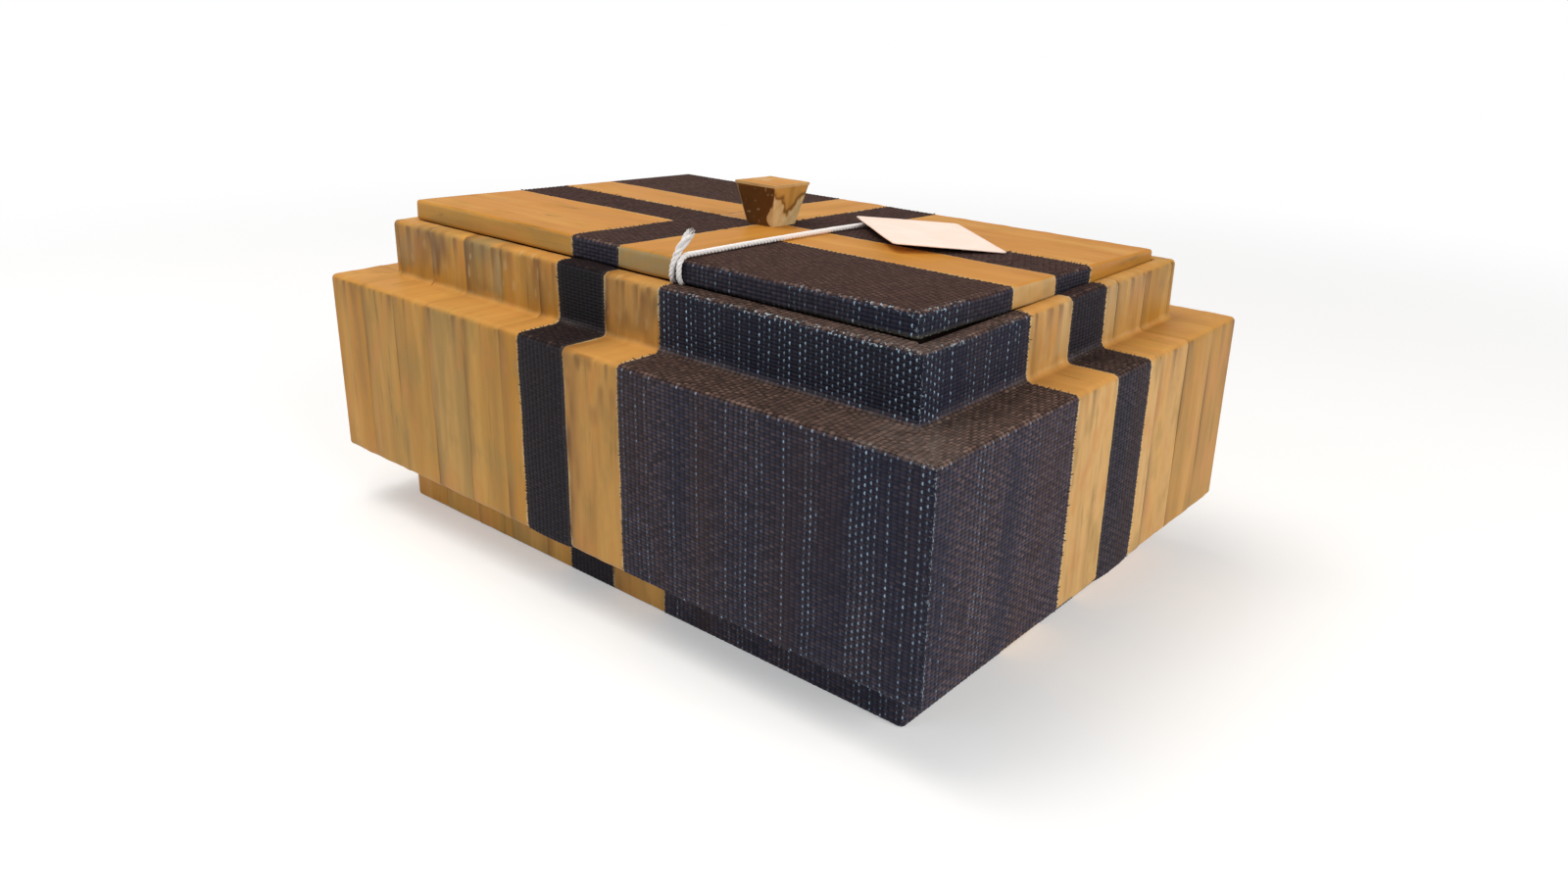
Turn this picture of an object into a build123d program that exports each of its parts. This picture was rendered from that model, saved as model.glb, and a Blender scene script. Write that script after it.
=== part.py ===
"""Stepped keepsake box: a board carcase under pressed stalk strips and dark cloth, with a lift-off lid.

The lid lies in a rebate of the rim. Its front edge is propped on the string that is tucked under it, so the
whole lid leans back a little: it is modelled level and then turned about its lower front edge.
Millimetres, +Z up. X runs along the length and the front is -Y.
The origin is on the table, under the middle of the box.
"""

import os
from math import atan2, degrees, pi, radians, tan

from build123d import *

os.makedirs("parts", exist_ok=True)

# Outside of the covered box
box_length = 300.0
box_width = 206.0
plinth_height = 24.0
belt_height = 75.0
rim_height = 22.5

# Boards of the carcase
belt_board = 19.0
wall_board = 12.0
wall_rebate = 6.0
floor_board = 6.0
floor_lift = 4.0
floor_housing = 4.0
housing_gap = 0.2

# Covering and lining
cover = 1.0
cover_lift = 0.5
edge_round = 1.6
edge_ease = 0.3
fold_round = 3.0
lining = 1.0

# Counterchanged pattern of the covering
cloth_band = 24.0
stalk_band = 28.0
stalk_width = 22.5
seam_gap = 0.3
sliver_share = 0.4

# Lid, and the rebate of the rim that it lies in
lid_step = 7.0
lid_gap = 0.6
lid_recess = 4.2
lid_prop = 1.8
lid_seat_gap = 0.2
lid_board_thickness = 6.0
lid_sheet_thickness = 0.8
lid_sheet_inset = 4.0
batten_width = 8.0
batten_depth = 6.0
batten_gap = 1.0

# Knob and its screw
knob_base = 13.8
knob_top = 20.4
knob_height = 16.8
knob_veneer = 0.8
screw_diameter = 3.5
screw_head_diameter = 7.0
screw_head_depth = 1.8
screw_length = 16.0
screw_point = 4.0
screw_gap = 0.1

# Card tag, lying with one long edge on the lid and the other propped on the string
tag_length = 60.0
tag_width = 42.0
tag_thickness = 0.5
tag_place_x = 57.7
tag_place_y = 23.6
tag_heading = -39.8
tag_lift = 1.7
tag_tilt = 3.5

# String: free tail, fold under the lid's front edge, over the edge, straight across the lid to the tag
string_diameter = 1.5
string_clearance = 0.3
run_share = 0.45
string_points = [
    (32.0, -75.6, 138.8),
    (27.6, -78.6, 131.6),
    (25.4, -78.4, 122.35),
    (25.4, -74.6, 122.35),
    (29.0, -74.6, 122.35),
    (29.0, -78.4, 122.35),
    (29.8, -78.4, 131.4),
    (28.0, -36.0, 130.0),
    (27.6, 12.0, 128.4),
    (29.2, 23.0, 128.1),
]
string_edge_point = 6

# Heights
belt_top = plinth_height + belt_height
rim_top = belt_top + rim_height
recess_floor = rim_top - lid_recess
lid_under = rim_top + lid_prop
lid_board_top = lid_under + lid_board_thickness
lid_top = lid_board_top + cover
floor_top = floor_lift + floor_board

# Plans, from the outside in
rim_length = box_length - 2 * belt_board
rim_width = box_width - 2 * belt_board
bare_length = rim_length - 2 * cover
bare_width = rim_width - 2 * cover
belt_length = box_length - 2 * cover
belt_width = box_width - 2 * cover
cavity_length = bare_length - 2 * wall_board
cavity_width = bare_width - 2 * wall_board
lined_length = cavity_length - 2 * lining
lined_width = cavity_width - 2 * lining
lid_length = rim_length - 2 * lid_step
lid_width = rim_width - 2 * lid_step
rebate_length = lid_length + 2 * lid_gap
rebate_width = lid_width + 2 * lid_gap
cover_inner_round = max(edge_round - cover, edge_ease)
board_round = cover_inner_round + edge_ease

# Lean of the lid: its front edge on the string, the back edge of its under sheet on the rebate's floor
lid_drop = lid_under - lid_sheet_thickness - lid_seat_gap - recess_floor
lid_lean = degrees(atan2(lid_drop, lid_width - lid_sheet_inset))
lid_front_edge = Axis((0, -lid_width / 2, lid_under), (1, 0, 0))

# The two bands of a side lie together across its middle
band_half = (cloth_band + stalk_band) / 2
band_split = stalk_band - band_half


def keep(part, name):
    """Label a finished piece and write it."""
    part.label = name
    export_step(part, f"parts/{name}.step")


def keep_on_lid(part, name):
    """Write a piece of the lid, leaned back about the lid's lower front edge."""
    keep(part.rotate(lid_front_edge, -lid_lean), name)


def half_turn(points):
    """The same plan points turned half way round the box."""
    return [(-x, -y) for x, y in points]


def rectangle_plan(x_low, x_high, y_low, y_high):
    """Corner points of an upright field of the pattern."""
    return [(x_low, y_low), (x_high, y_low), (x_high, y_high), (x_low, y_high)]


def strip_seams(outer, inner):
    """Seams between stalk strips laid side by side from an outer edge inwards, with no sliver left over."""
    count = int((outer - inner) / stalk_width - sliver_share)
    return [outer - stalk_width * (index + 1) for index in range(count)]


def soft_block(length, width, low, high, radius, soft_bottom):
    """Block between two heights with its upright and top edges rounded, and its bottom edges if asked."""
    with BuildPart() as block:
        with BuildSketch(Plane.XY.offset(low)):
            Rectangle(length, width)
        extrude(amount=high - low)
        soft_edges = block.edges().filter_by(Axis.Z) + block.edges().group_by(Axis.Z)[-1]
        if soft_bottom:
            soft_edges = soft_edges + block.edges().group_by(Axis.Z)[0]
        fillet(soft_edges, radius=radius)
    return block.part


def board(length, width, low, high):
    """Plain rectangular board between two heights, centred on the box."""
    with BuildPart() as plank:
        with BuildSketch(Plane.XY.offset(low)):
            Rectangle(length, width)
        extrude(amount=high - low)
    return plank.part


# Carcase: front and back walls, rebated at their ends for the side walls, all housed round the floor
floor_length = cavity_length + 2 * floor_housing
floor_width = cavity_width + 2 * floor_housing
floor_groove = board(floor_length + 2 * housing_gap, floor_width + 2 * housing_gap, floor_lift, floor_top)
wall_top = rim_top - cover
lid_rebate = board(rebate_length + 2 * cover, rebate_width + 2 * cover, recess_floor, rim_top)

with BuildPart() as wall_block:
    add(soft_block(bare_length, bare_width, 0, wall_top, board_round, False))
    add(floor_groove, mode=Mode.SUBTRACT)
    add(lid_rebate, mode=Mode.SUBTRACT)

for name, side in (("front_wall", -1), ("back_wall", 1)):
    with BuildPart() as long_wall:
        with BuildSketch():
            with Locations((0, side * (bare_width - wall_board) / 2)):
                Rectangle(bare_length, wall_board)
            with Locations(
                ((bare_length - wall_board) / 2, side * (cavity_width + wall_rebate) / 2),
                ((wall_board - bare_length) / 2, side * (cavity_width + wall_rebate) / 2),
            ):
                Rectangle(wall_board, wall_rebate, mode=Mode.SUBTRACT)
        extrude(amount=wall_top)
        add(wall_block.part, mode=Mode.INTERSECT)
    keep(long_wall.part, name)

for name, side in (("left_wall", -1), ("right_wall", 1)):
    with BuildPart() as side_wall:
        with BuildSketch():
            with Locations((side * (bare_length - wall_board) / 2, 0)):
                Rectangle(wall_board, cavity_width + 2 * wall_rebate)
        extrude(amount=wall_top)
        add(wall_block.part, mode=Mode.INTERSECT)
    keep(side_wall.part, name)

keep(board(floor_length, floor_width, floor_lift, floor_top), "floor_panel")

# Belt: four boards round the walls, cut from one rounded block by wedges that meet at the mitres
belt_low = plinth_height + cover
belt_high = belt_top - cover
belt_block = soft_block(belt_length, belt_width, belt_low, belt_high, board_round, True)
wedge_length = bare_length + 4 * belt_board
wedge_width = bare_width + 4 * belt_board
wedge_inner = rectangle_plan(-bare_length / 2, bare_length / 2, -bare_width / 2, bare_width / 2)
wedge_outer = rectangle_plan(-wedge_length / 2, wedge_length / 2, -wedge_width / 2, wedge_width / 2)
for index, name in enumerate(("front_belt_board", "right_belt_board", "back_belt_board", "left_belt_board")):
    following = (index + 1) % len(wedge_outer)
    wedge = (wedge_outer[index], wedge_outer[following], wedge_inner[following], wedge_inner[index])
    with BuildPart() as belt_side:
        add(belt_block)
        with BuildSketch():
            Polygon(*wedge, align=None)
        extrude(amount=lid_top, mode=Mode.INTERSECT)
    keep(belt_side.part, name)


def ring_of_boards(length, width, thickness, low, high):
    """Four upright boards inside a rectangle, the side ones between the front and back ones, with their sides."""
    boards = []
    for name, side in (("front", -1), ("back", 1)):
        with BuildPart() as long_board:
            with BuildSketch(Plane.XY.offset(low)):
                with Locations((0, side * (width - thickness) / 2)):
                    Rectangle(length, thickness)
            extrude(amount=high - low)
        boards.append((name, long_board.part))
    for name, side in (("left", -1), ("right", 1)):
        with BuildPart() as side_board:
            with BuildSketch(Plane.XY.offset(low)):
                with Locations((side * (length - thickness) / 2, 0)):
                    Rectangle(thickness, width - 2 * thickness)
            extrude(amount=high - low)
        boards.append((name, side_board.part))
    return boards


# Lining: a sheet on the floor and one on each wall, up to the rebate
keep(board(lined_length, lined_width, floor_top, floor_top + lining), "floor_lining")
for side, sheet in ring_of_boards(cavity_length, cavity_width, lining, floor_top, recess_floor):
    keep(sheet, f"{side}_wall_lining")

# Covering of belt and rim in one stepped skin, turned over the rim and down into the rebate
with BuildPart() as body_cover:
    add(soft_block(box_length, box_width, plinth_height, belt_top, edge_round, True))
    add(soft_block(rim_length, rim_width, plinth_height, rim_top, edge_round, False))
    fillet(body_cover.edges(Select.NEW), radius=fold_round)
    add(soft_block(belt_length, belt_width, belt_low, belt_high, cover_inner_round, True), mode=Mode.SUBTRACT)
    add(soft_block(bare_length, bare_width, 0, wall_top, cover_inner_round, False), mode=Mode.SUBTRACT)
    add(lid_rebate)
    add(board(rebate_length, rebate_width, recess_floor, rim_top), mode=Mode.SUBTRACT)

# Covering of the plinth
with BuildPart() as plinth_cover:
    with BuildSketch(Plane.XY.offset(cover_lift)):
        RectangleRounded(rim_length, rim_width, edge_round)
        RectangleRounded(bare_length, bare_width, cover_inner_round, mode=Mode.SUBTRACT)
    extrude(amount=plinth_height - cover_lift)

# The front and right fields of the pattern; the back and left ones are these after a half turn
reach_x = box_length / 2
reach_y = box_width / 2
side_fields = [
    ("front_right_cloth_corner", "back_left_cloth_corner", (band_half, reach_x, -reach_y, -band_half)),
    ("front_stalk_band", "back_stalk_band", (-band_split, band_half, -reach_y, -band_half)),
    ("front_cloth_band", "back_cloth_band", (-band_half, -band_split, -reach_y, -band_half)),
    ("front_left_stalk_corner", "back_right_stalk_corner", (-reach_x, -band_half, -reach_y, -band_half)),
    ("right_stalk_band", "left_stalk_band", (band_half, reach_x, -band_half, band_split)),
    ("right_cloth_band", "left_cloth_band", (band_half, reach_x, band_split, band_half)),
]


def cover_field(skin, plan):
    """The piece of a covering inside one field of the pattern."""
    with BuildPart() as field:
        add(skin)
        with BuildSketch():
            Polygon(*plan, align=None)
        extrude(amount=lid_top, mode=Mode.INTERSECT)
    return field.part


def seamed_corner(part, outer_length, outer_width, turn):
    """A stalk corner of a covering cut into its strips along upright seams."""
    front_seams = strip_seams(outer_length / 2, band_half)
    side_seams = strip_seams(outer_width / 2, band_half)
    front_depth = (outer_width - rebate_width) / 2
    side_depth = (outer_length - rebate_length) / 2
    with BuildPart() as strips:
        add(part)
        with BuildSketch():
            with Locations([(-turn * seam, turn * (front_depth - outer_width) / 2) for seam in front_seams]):
                Rectangle(seam_gap, front_depth)
            with Locations([(turn * (side_depth - outer_length) / 2, -turn * seam) for seam in side_seams]):
                Rectangle(side_depth, seam_gap)
        extrude(amount=lid_top, mode=Mode.SUBTRACT)
    return strips.part


for prefix, skin, outer_length, outer_width in (
    ("", body_cover.part, box_length, box_width),
    ("plinth_", plinth_cover.part, rim_length, rim_width),
):
    for front_name, back_name, limits in side_fields:
        plan = rectangle_plan(*limits)
        for name, field_plan, turn in ((front_name, plan, 1), (back_name, half_turn(plan), -1)):
            piece = cover_field(skin, field_plan)
            if name.endswith("stalk_corner"):
                piece = seamed_corner(piece, outer_length, outer_width, turn)
            keep(piece, prefix + name)


def screw_outline(gap):
    """Half outline of the knob's countersunk screw, larger by a gap."""
    head = screw_head_diameter / 2 + gap
    shank = screw_diameter / 2 + gap
    tip = lid_under + screw_length + gap
    return [
        (0, lid_under),
        (head, lid_under),
        (shank, lid_under + screw_head_depth),
        (shank, tip - screw_point),
        (0, tip),
    ]


def screw_form(gap):
    """Solid of the knob's screw, larger by a gap."""
    with BuildPart() as form:
        with BuildSketch(Plane.XZ):
            Polygon(*screw_outline(gap), align=None)
        revolve(axis=Axis.Z)
    return form.part


screw_hole = screw_form(screw_gap)
keep_on_lid(screw_form(0), "knob_screw")

# Lid: board, the sheet under it, and the battens that stiffen it inside the box's mouth
lid_board_length = lid_length - 2 * cover
lid_board_width = lid_width - 2 * cover
with BuildPart() as lid_board:
    add(soft_block(lid_board_length, lid_board_width, lid_under, lid_board_top, board_round, False))
    add(screw_hole, mode=Mode.SUBTRACT)
keep_on_lid(lid_board.part, "lid_board")

sheet_length = lid_length - 2 * lid_sheet_inset
sheet_width = lid_width - 2 * lid_sheet_inset
sheet_under = lid_under - lid_sheet_thickness
keep_on_lid(board(sheet_length, sheet_width, sheet_under, lid_under), "lid_sheet")

frame_length = lined_length - 2 * batten_gap
frame_width = lined_width - 2 * batten_gap
for side, batten in ring_of_boards(frame_length, frame_width, batten_width, sheet_under - batten_depth, sheet_under):
    keep_on_lid(batten, f"{side}_batten")

# Covering of the lid: panels in two quarters of each kind, angles along the middle lines
with BuildPart() as lid_cover:
    add(soft_block(lid_length, lid_width, lid_under, lid_top, edge_round, False))
    add(
        soft_block(lid_board_length, lid_board_width, lid_under, lid_board_top, cover_inner_round, False),
        mode=Mode.SUBTRACT,
    )
    add(screw_hole, mode=Mode.SUBTRACT)

cloth_panel = rectangle_plan(band_half, reach_x, -reach_y, -band_half)
stalk_panel = rectangle_plan(-reach_x, -band_half, -reach_y, -band_half)
stalk_angle = [
    (-band_split, -reach_y),
    (band_half, -reach_y),
    (band_half, -band_half),
    (reach_x, -band_half),
    (reach_x, band_split),
    (band_split, band_split),
    (band_split, -band_split),
    (-band_split, -band_split),
]
cloth_angle = [
    (-reach_x, -band_half),
    (-band_half, -band_half),
    (-band_half, -reach_y),
    (-band_split, -reach_y),
    (-band_split, -band_split),
    (-reach_x, -band_split),
]
lid_fields = [
    ("lid_front_right_cloth_panel", "lid_back_left_cloth_panel", cloth_panel),
    ("lid_front_right_stalk_angle", "lid_back_left_stalk_angle", stalk_angle),
    ("lid_front_left_cloth_angle", "lid_back_right_cloth_angle", cloth_angle),
    ("lid_front_left_stalk_panel", "lid_back_right_stalk_panel", stalk_panel),
]
for front_name, back_name, plan in lid_fields:
    for name, field_plan, turn in ((front_name, plan, 1), (back_name, half_turn(plan), -1)):
        with BuildPart() as lid_piece:
            add(cover_field(lid_cover.part, field_plan))
            if name.endswith("stalk_panel"):
                with BuildSketch():
                    with Locations([(0, -turn * seam) for seam in strip_seams(lid_width / 2, band_half)]):
                        Rectangle(lid_length, seam_gap)
                extrude(amount=lid_top, mode=Mode.SUBTRACT)
        keep_on_lid(lid_piece.part, name)


def flared_block(inset, low, high):
    """Upside-down square frustum of the knob, drawn in by an inset, between two heights above the lid."""
    flare = (knob_top - knob_base) / knob_height
    with BuildPart() as block:
        for height in (low, high):
            with BuildSketch(Plane.XY.offset(lid_top + height)):
                side = knob_base + flare * height - 2 * inset
                Rectangle(side, side)
        loft()
    return block.part


# Knob: a wooden core on the screw, four mitred side veneers and a top veneer
with BuildPart() as knob_core:
    add(flared_block(knob_veneer, 0, knob_height - knob_veneer))
    add(screw_hole, mode=Mode.SUBTRACT)
keep_on_lid(knob_core.part, "knob_core")

with BuildPart() as knob_side_veneers:
    add(flared_block(0, 0, knob_height - knob_veneer))
    add(flared_block(knob_veneer, 0, knob_height - knob_veneer), mode=Mode.SUBTRACT)
    with BuildSketch(Plane.XY.offset(lid_top)):
        for mitre in (45, 135):
            Rectangle(2 * knob_top, seam_gap, rotation=mitre)
    extrude(amount=knob_height, mode=Mode.SUBTRACT)
keep_on_lid(knob_side_veneers.part, "knob_side_veneers")
keep_on_lid(flared_block(0, knob_height - knob_veneer, knob_height), "knob_top_veneer")

# Card tag: a stiff card tilted about its long edge
tag_long = Vector(1, 0, 0).rotate(Axis.Z, tag_heading)
tag_normal = Vector(0, 0, 1).rotate(Axis((0, 0, 0), tag_long), -tag_tilt)
tag_middle = (tag_place_x, tag_place_y, lid_top + tag_lift)
with BuildPart() as tag_card:
    with BuildSketch(Plane(origin=tag_middle, x_dir=tag_long, z_dir=tag_normal)):
        Rectangle(tag_length, tag_width)
    extrude(amount=tag_thickness)
keep_on_lid(tag_card.part, "tag_card")

# String: straight runs joined by arcs, as wide as the runs allow but close round the lid's edge
string_vectors = [Vector(*point) for point in string_points]
string_radii = []
for index in range(1, len(string_vectors) - 1):
    incoming = string_vectors[index] - string_vectors[index - 1]
    outgoing = string_vectors[index + 1] - string_vectors[index]
    half_angle = radians(incoming.get_angle(outgoing)) / 2
    radius = run_share * min(incoming.length, outgoing.length) / tan(half_angle)
    if index == string_edge_point:
        radius = edge_round + string_clearance + string_diameter / 2
    string_radii.append(radius)
with BuildPart() as tag_string:
    with BuildLine() as string_path:
        FilletPolyline(*string_points, radius=string_radii)
    with BuildSketch(Plane(origin=string_path.line @ 0, z_dir=string_path.line % 0)):
        Circle(string_diameter / 2)
    sweep()
keep(tag_string.part, "tag_string")

string_length = sum(edge.length for edge in string_path.edges())
print("string radii", [round(radius, 2) for radius in string_radii])
print("string length", round(string_length, 1))
string_section = pi * string_diameter**2 / 4
print("string volume over section times length", tag_string.part.volume / (string_length * string_section))
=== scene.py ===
"""Looks of the stepped keepsake box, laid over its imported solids.

The covering is worked out side by side: every field of the pattern is a panel, a grid over the distance
along one side of the box and the length up the section of the skin. The lid is worked out level and then
leaned back, as its solids are. Sizes are in millimetres until a mesh is made, and the main ones come from
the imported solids.
"""

import math

import bmesh
import bpy
import numpy as np
from mathutils import Matrix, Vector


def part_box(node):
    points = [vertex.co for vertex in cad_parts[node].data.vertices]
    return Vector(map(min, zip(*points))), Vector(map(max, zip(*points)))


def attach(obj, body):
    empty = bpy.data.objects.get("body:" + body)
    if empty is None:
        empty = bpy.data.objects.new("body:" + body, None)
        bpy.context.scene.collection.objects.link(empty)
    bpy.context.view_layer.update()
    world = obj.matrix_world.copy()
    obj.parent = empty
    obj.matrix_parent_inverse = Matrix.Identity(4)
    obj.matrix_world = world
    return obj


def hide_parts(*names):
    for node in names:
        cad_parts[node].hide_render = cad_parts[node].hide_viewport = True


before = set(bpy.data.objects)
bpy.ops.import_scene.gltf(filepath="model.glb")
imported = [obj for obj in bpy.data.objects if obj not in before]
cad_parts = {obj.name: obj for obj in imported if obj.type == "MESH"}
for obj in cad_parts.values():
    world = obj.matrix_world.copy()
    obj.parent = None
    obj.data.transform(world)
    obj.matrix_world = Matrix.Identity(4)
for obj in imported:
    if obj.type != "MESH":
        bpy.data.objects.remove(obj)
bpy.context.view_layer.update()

MM = 0.001
CLOTH, STALK = "cloth", "stalk"


def node_box(node):
    """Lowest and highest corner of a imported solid, in millimetres."""
    low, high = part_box(node)
    return np.array(low) / MM, np.array(high) / MM


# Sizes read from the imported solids
body_low, body_high = node_box("front_right_cloth_corner")
plinth_low, plinth_high = node_box("plinth_front_right_cloth_corner")
lid_low, lid_high = node_box("lid_front_right_cloth_panel")
band_low, band_high = node_box("front_stalk_band")
belt_board_low, belt_board_high = node_box("front_belt_board")

half_length, half_width = body_high[0], -body_low[1]
rim_half_length, rim_half_width = plinth_high[0], -plinth_low[1]
lid_half_length, lid_half_width = lid_high[0], -lid_low[1]
belt_step = half_length - rim_half_length
cover = half_width + belt_board_low[1]
belt_bottom, belt_top = body_low[2], belt_board_high[2] + cover
rim_top = body_high[2]
mouth_inset = band_high[1] - band_low[1]
turn_in_low = node_box("front_wall_lining")[1][2]
plinth_foot = plinth_low[2]
band_half, band_split = band_high[0], -band_low[0]

# Lid: level here, then leaned back about its lower front edge, which is propped on the tucked string
lid_prop, lid_thickness = 1.8, 7.0
lid_lean = math.radians(1.909)
lid_sag, lid_hem = 0.6, 0.7
lid_bottom = rim_top + lid_prop
lid_top = lid_bottom + lid_thickness

# Rounding of the covered edges and folds
edge_rounds = {CLOTH: 1.6, STALK: 1.8}
lid_edge_rounds = {CLOTH: 1.4, STALK: 1.0}
fold_rounds = {CLOTH: 2.6, STALK: 2.2}
mouth_round = 0.8
foot_round = 0.4
tuck_under = 1.2
under_lid = 1.9

# Cloth: plain weave of broad upright yarns and finer cross yarns
warp_pitch, weft_pitch = 2.1, 1.2
yarn_steps = 3
weave_height = 0.34
yarn_wander = 0.25
cloth_uneven, cloth_sag = 0.07, 0.2
cloth_overlap = 0.9
cloth_tuck = 0.5
rim_shade = 0.4
paler_corner_reach = 22.0

# Pressed stalks
stalk_width = 22.5
stalk_step, close_steps = 0.75, (0.18, 0.42)
stalk_seam = 0.02
sliver_share = 0.4
stalk_lift, stalk_crown, stalk_blister, stalk_dent = 0.08, 0.07, 0.08, 0.5
stalk_fibres = (0.012, 0.02)
seam_round, seam_sink = 0.6, 0.05
wave_at_seam = 0.25

# Where two sides meet at a corner: how far panels run past it, their height there, and the blend to it
past_corner = 1.2
corner_rise = {CLOTH: 0.16, STALK: 0.06}
corner_blend = 1.2

# Panels: depth of their turned-down edges, and a distance that stands for no border
skirt = 0.85
no_border = 99.0

# Meshes: step along a section's line, distance within which points are joined, sharpest smooth edge
section_step = 0.05
join_distance = 0.002
smooth_angle = math.radians(60.0)

# Random draws, one stream for the whole object
draw = np.random.default_rng(41)
seed_limit = 1000


def next_seed():
    """Seed for the noise on one panel, drawn from the stream."""
    return int(draw.integers(seed_limit))


def smooth_step(value, low, high):
    """Share from 0 to 1 between two values, eased at both ends."""
    share = np.clip((value - low) / (high - low), 0, 1)
    return share**2 * (3 - 2 * share)


def bell(offset, width):
    """Share that falls from 1 with the square of an offset over a width, exponentially."""
    return np.exp(-((offset / width) ** 2))


def fading(distance, reach):
    """Share that falls from 1 with a distance over a reach, exponentially."""
    return np.exp(-np.maximum(distance, 0) / reach)


def lattice_noise(x, y, seed):
    """Smooth noise from -1 to 1: random values on a unit lattice, blended by 3t^2 - 2t^3 both ways."""
    cell_x, cell_y = np.floor(x), np.floor(y)
    blend_x, blend_y = smooth_step(x - cell_x, 0, 1), smooth_step(y - cell_y, 0, 1)

    def value(i, j):
        return np.modf(np.sin(i * 127.1 + j * 311.7 + seed * 74.7) * 43758.5453)[0]

    low = value(cell_x, cell_y) * (1 - blend_x) + value(cell_x + 1, cell_y) * blend_x
    high = value(cell_x, cell_y + 1) * (1 - blend_x) + value(cell_x + 1, cell_y + 1) * blend_x
    return low * (1 - blend_y) + high * blend_y


def unit(vectors):
    """Vectors brought to a length of one."""
    return vectors / np.linalg.norm(vectors, axis=-1, keepdims=True)


def quarter_turned(x, y, turn):
    """Places of the front brought to another side by quarter turns."""
    for _ in range(turn % 4):
        x, y = -y, x
    return x, y


def line_lengths(line):
    """Length along a line up to each of its points."""
    return np.concatenate([[0], np.cumsum(np.linalg.norm(np.diff(line, axis=0), axis=1))])


def points_at(line, wanted):
    """Points of a line at wanted lengths along it."""
    length = line_lengths(line)
    return np.stack([np.interp(wanted, length, axis) for axis in line.T], axis=1)


def rounded_line(corners, radii):
    """Line through corners with each inner one turned into an arc, sampled evenly.

    An arc starts and ends radius x tan(half the turn) from its corner. A point of it is the start, plus
    radius x sin(angle) along the incoming run, plus radius x (1 - cos(angle)) across it.
    """
    corners = np.array(corners, float)
    stretches = [corners[:1]]
    for corner, before, after, radius in zip(corners[1:-1], corners, corners[2:], radii):
        incoming, outgoing = unit(corner - before), unit(after - corner)
        turn = math.acos(np.clip(incoming @ outgoing, -1, 1))
        across = unit(outgoing - incoming * (incoming @ outgoing))
        start = corner - incoming * radius * math.tan(turn / 2)
        angle = np.linspace(0, turn, max(4, int(radius * turn / section_step)))[:, None]
        stretches.append(start + radius * (np.sin(angle) * incoming + (1 - np.cos(angle)) * across))
    stretches.append(corners[-1:])
    line = np.concatenate(stretches)
    even = np.arange(0, line_lengths(line)[-1], section_step)
    return points_at(line, even), even


class Skin:
    """Section of a covering: inset from the outside and height, against the length up the section.

    The plan of the skin at an inset is a rectangle whose corners have the radius corner_round. The outward
    direction of the section is (height per length) outwards and (inset per length) upwards.
    """

    def __init__(self, corners, radii, half_along, half_depth, mitred, edge_round, fold_round=0.0):
        line, self.length = rounded_line(corners, radii)
        self.inset, self.height = line[:, 0], line[:, 1]
        self.outward = np.gradient(self.height, self.length)
        self.upward = np.gradient(self.inset, self.length)
        self.half = (half_along, half_depth)
        self.mitred = mitred
        self.edge_round = edge_round
        self.mouth = corners[-1][0]
        upper = np.interp(
            self.inset,
            [0, edge_round, belt_step - fold_round, belt_step, belt_step + edge_round],
            [edge_round, 0, edge_round + fold_round, edge_round, 0],
        )
        stepped = mitred & (self.height > (belt_bottom + belt_top) / 2)
        self.corner_round = np.where(stepped, upper, np.maximum(edge_round - self.inset, 0))

    def at(self, length):
        """Inset, height, outward and upward share of the normal, and corner radius at lengths."""
        fields = (self.inset, self.height, self.outward, self.upward, self.corner_round)
        return [np.interp(length, self.length, field) for field in fields]

    def corner_at(self, turn, length):
        """Where a side's straight stretch ends at lengths up the section, and the corner's radius there."""
        inset, _, _, _, radius = self.at(length)
        straight = self.half[turn % 2] - (inset + radius if self.mitred else self.edge_round)
        return straight, np.maximum(radius, 1e-6)

    def reach(self, turn):
        """How far a side's panels go along it, to the middle of the upright edge's arc."""
        return self.half[turn % 2] - self.edge_round * (1 - math.pi / 4)

    def length_at_inset(self, inset):
        """Length up the section where the skin has come in that far, on its last run."""
        return self.length[-1] - (self.inset[-1] - inset)


def body_section(kind, further=0.0):
    """Skin under the belt, up its face, over the ledge, up the rim, over it and down into the rebate."""
    edge_round, fold_round = edge_rounds[kind], fold_rounds[kind]
    mouth = mouth_inset + further
    corners = [
        (belt_step - foot_round, belt_bottom),
        (0, belt_bottom),
        (0, belt_top),
        (belt_step, belt_top),
        (belt_step, rim_top),
        (mouth, rim_top),
        (mouth, turn_in_low),
    ]
    radii = [edge_round, edge_round, fold_round, edge_round, mouth_round]
    return Skin(corners, radii, half_length, half_width, True, edge_round, fold_round)


def plinth_section(kind):
    """Skin from under the plinth up to the belt."""
    corners = [(cover, plinth_foot), (0, plinth_foot), (0, belt_bottom)]
    return Skin(corners, [foot_round], rim_half_length, rim_half_width, False, edge_rounds[kind])


def lid_section(kind):
    """Skin from under the lid's edge, up it and over the top to the middle."""
    edge_round = lid_edge_rounds[kind]
    corners = [(tuck_under, lid_bottom), (0, lid_bottom), (0, lid_top), (lid_half_length, lid_top)]
    return Skin(corners, [foot_round, edge_round], lid_half_length, lid_half_width, False, edge_round)


body_skins = {kind: body_section(kind) for kind in (CLOTH, STALK)}
front_skins = {kind: body_section(kind, under_lid) for kind in (CLOTH, STALK)}
plinth_skins = {kind: plinth_section(kind) for kind in (CLOTH, STALK)}
lid_skins = {kind: lid_section(kind) for kind in (CLOTH, STALK)}


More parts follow.
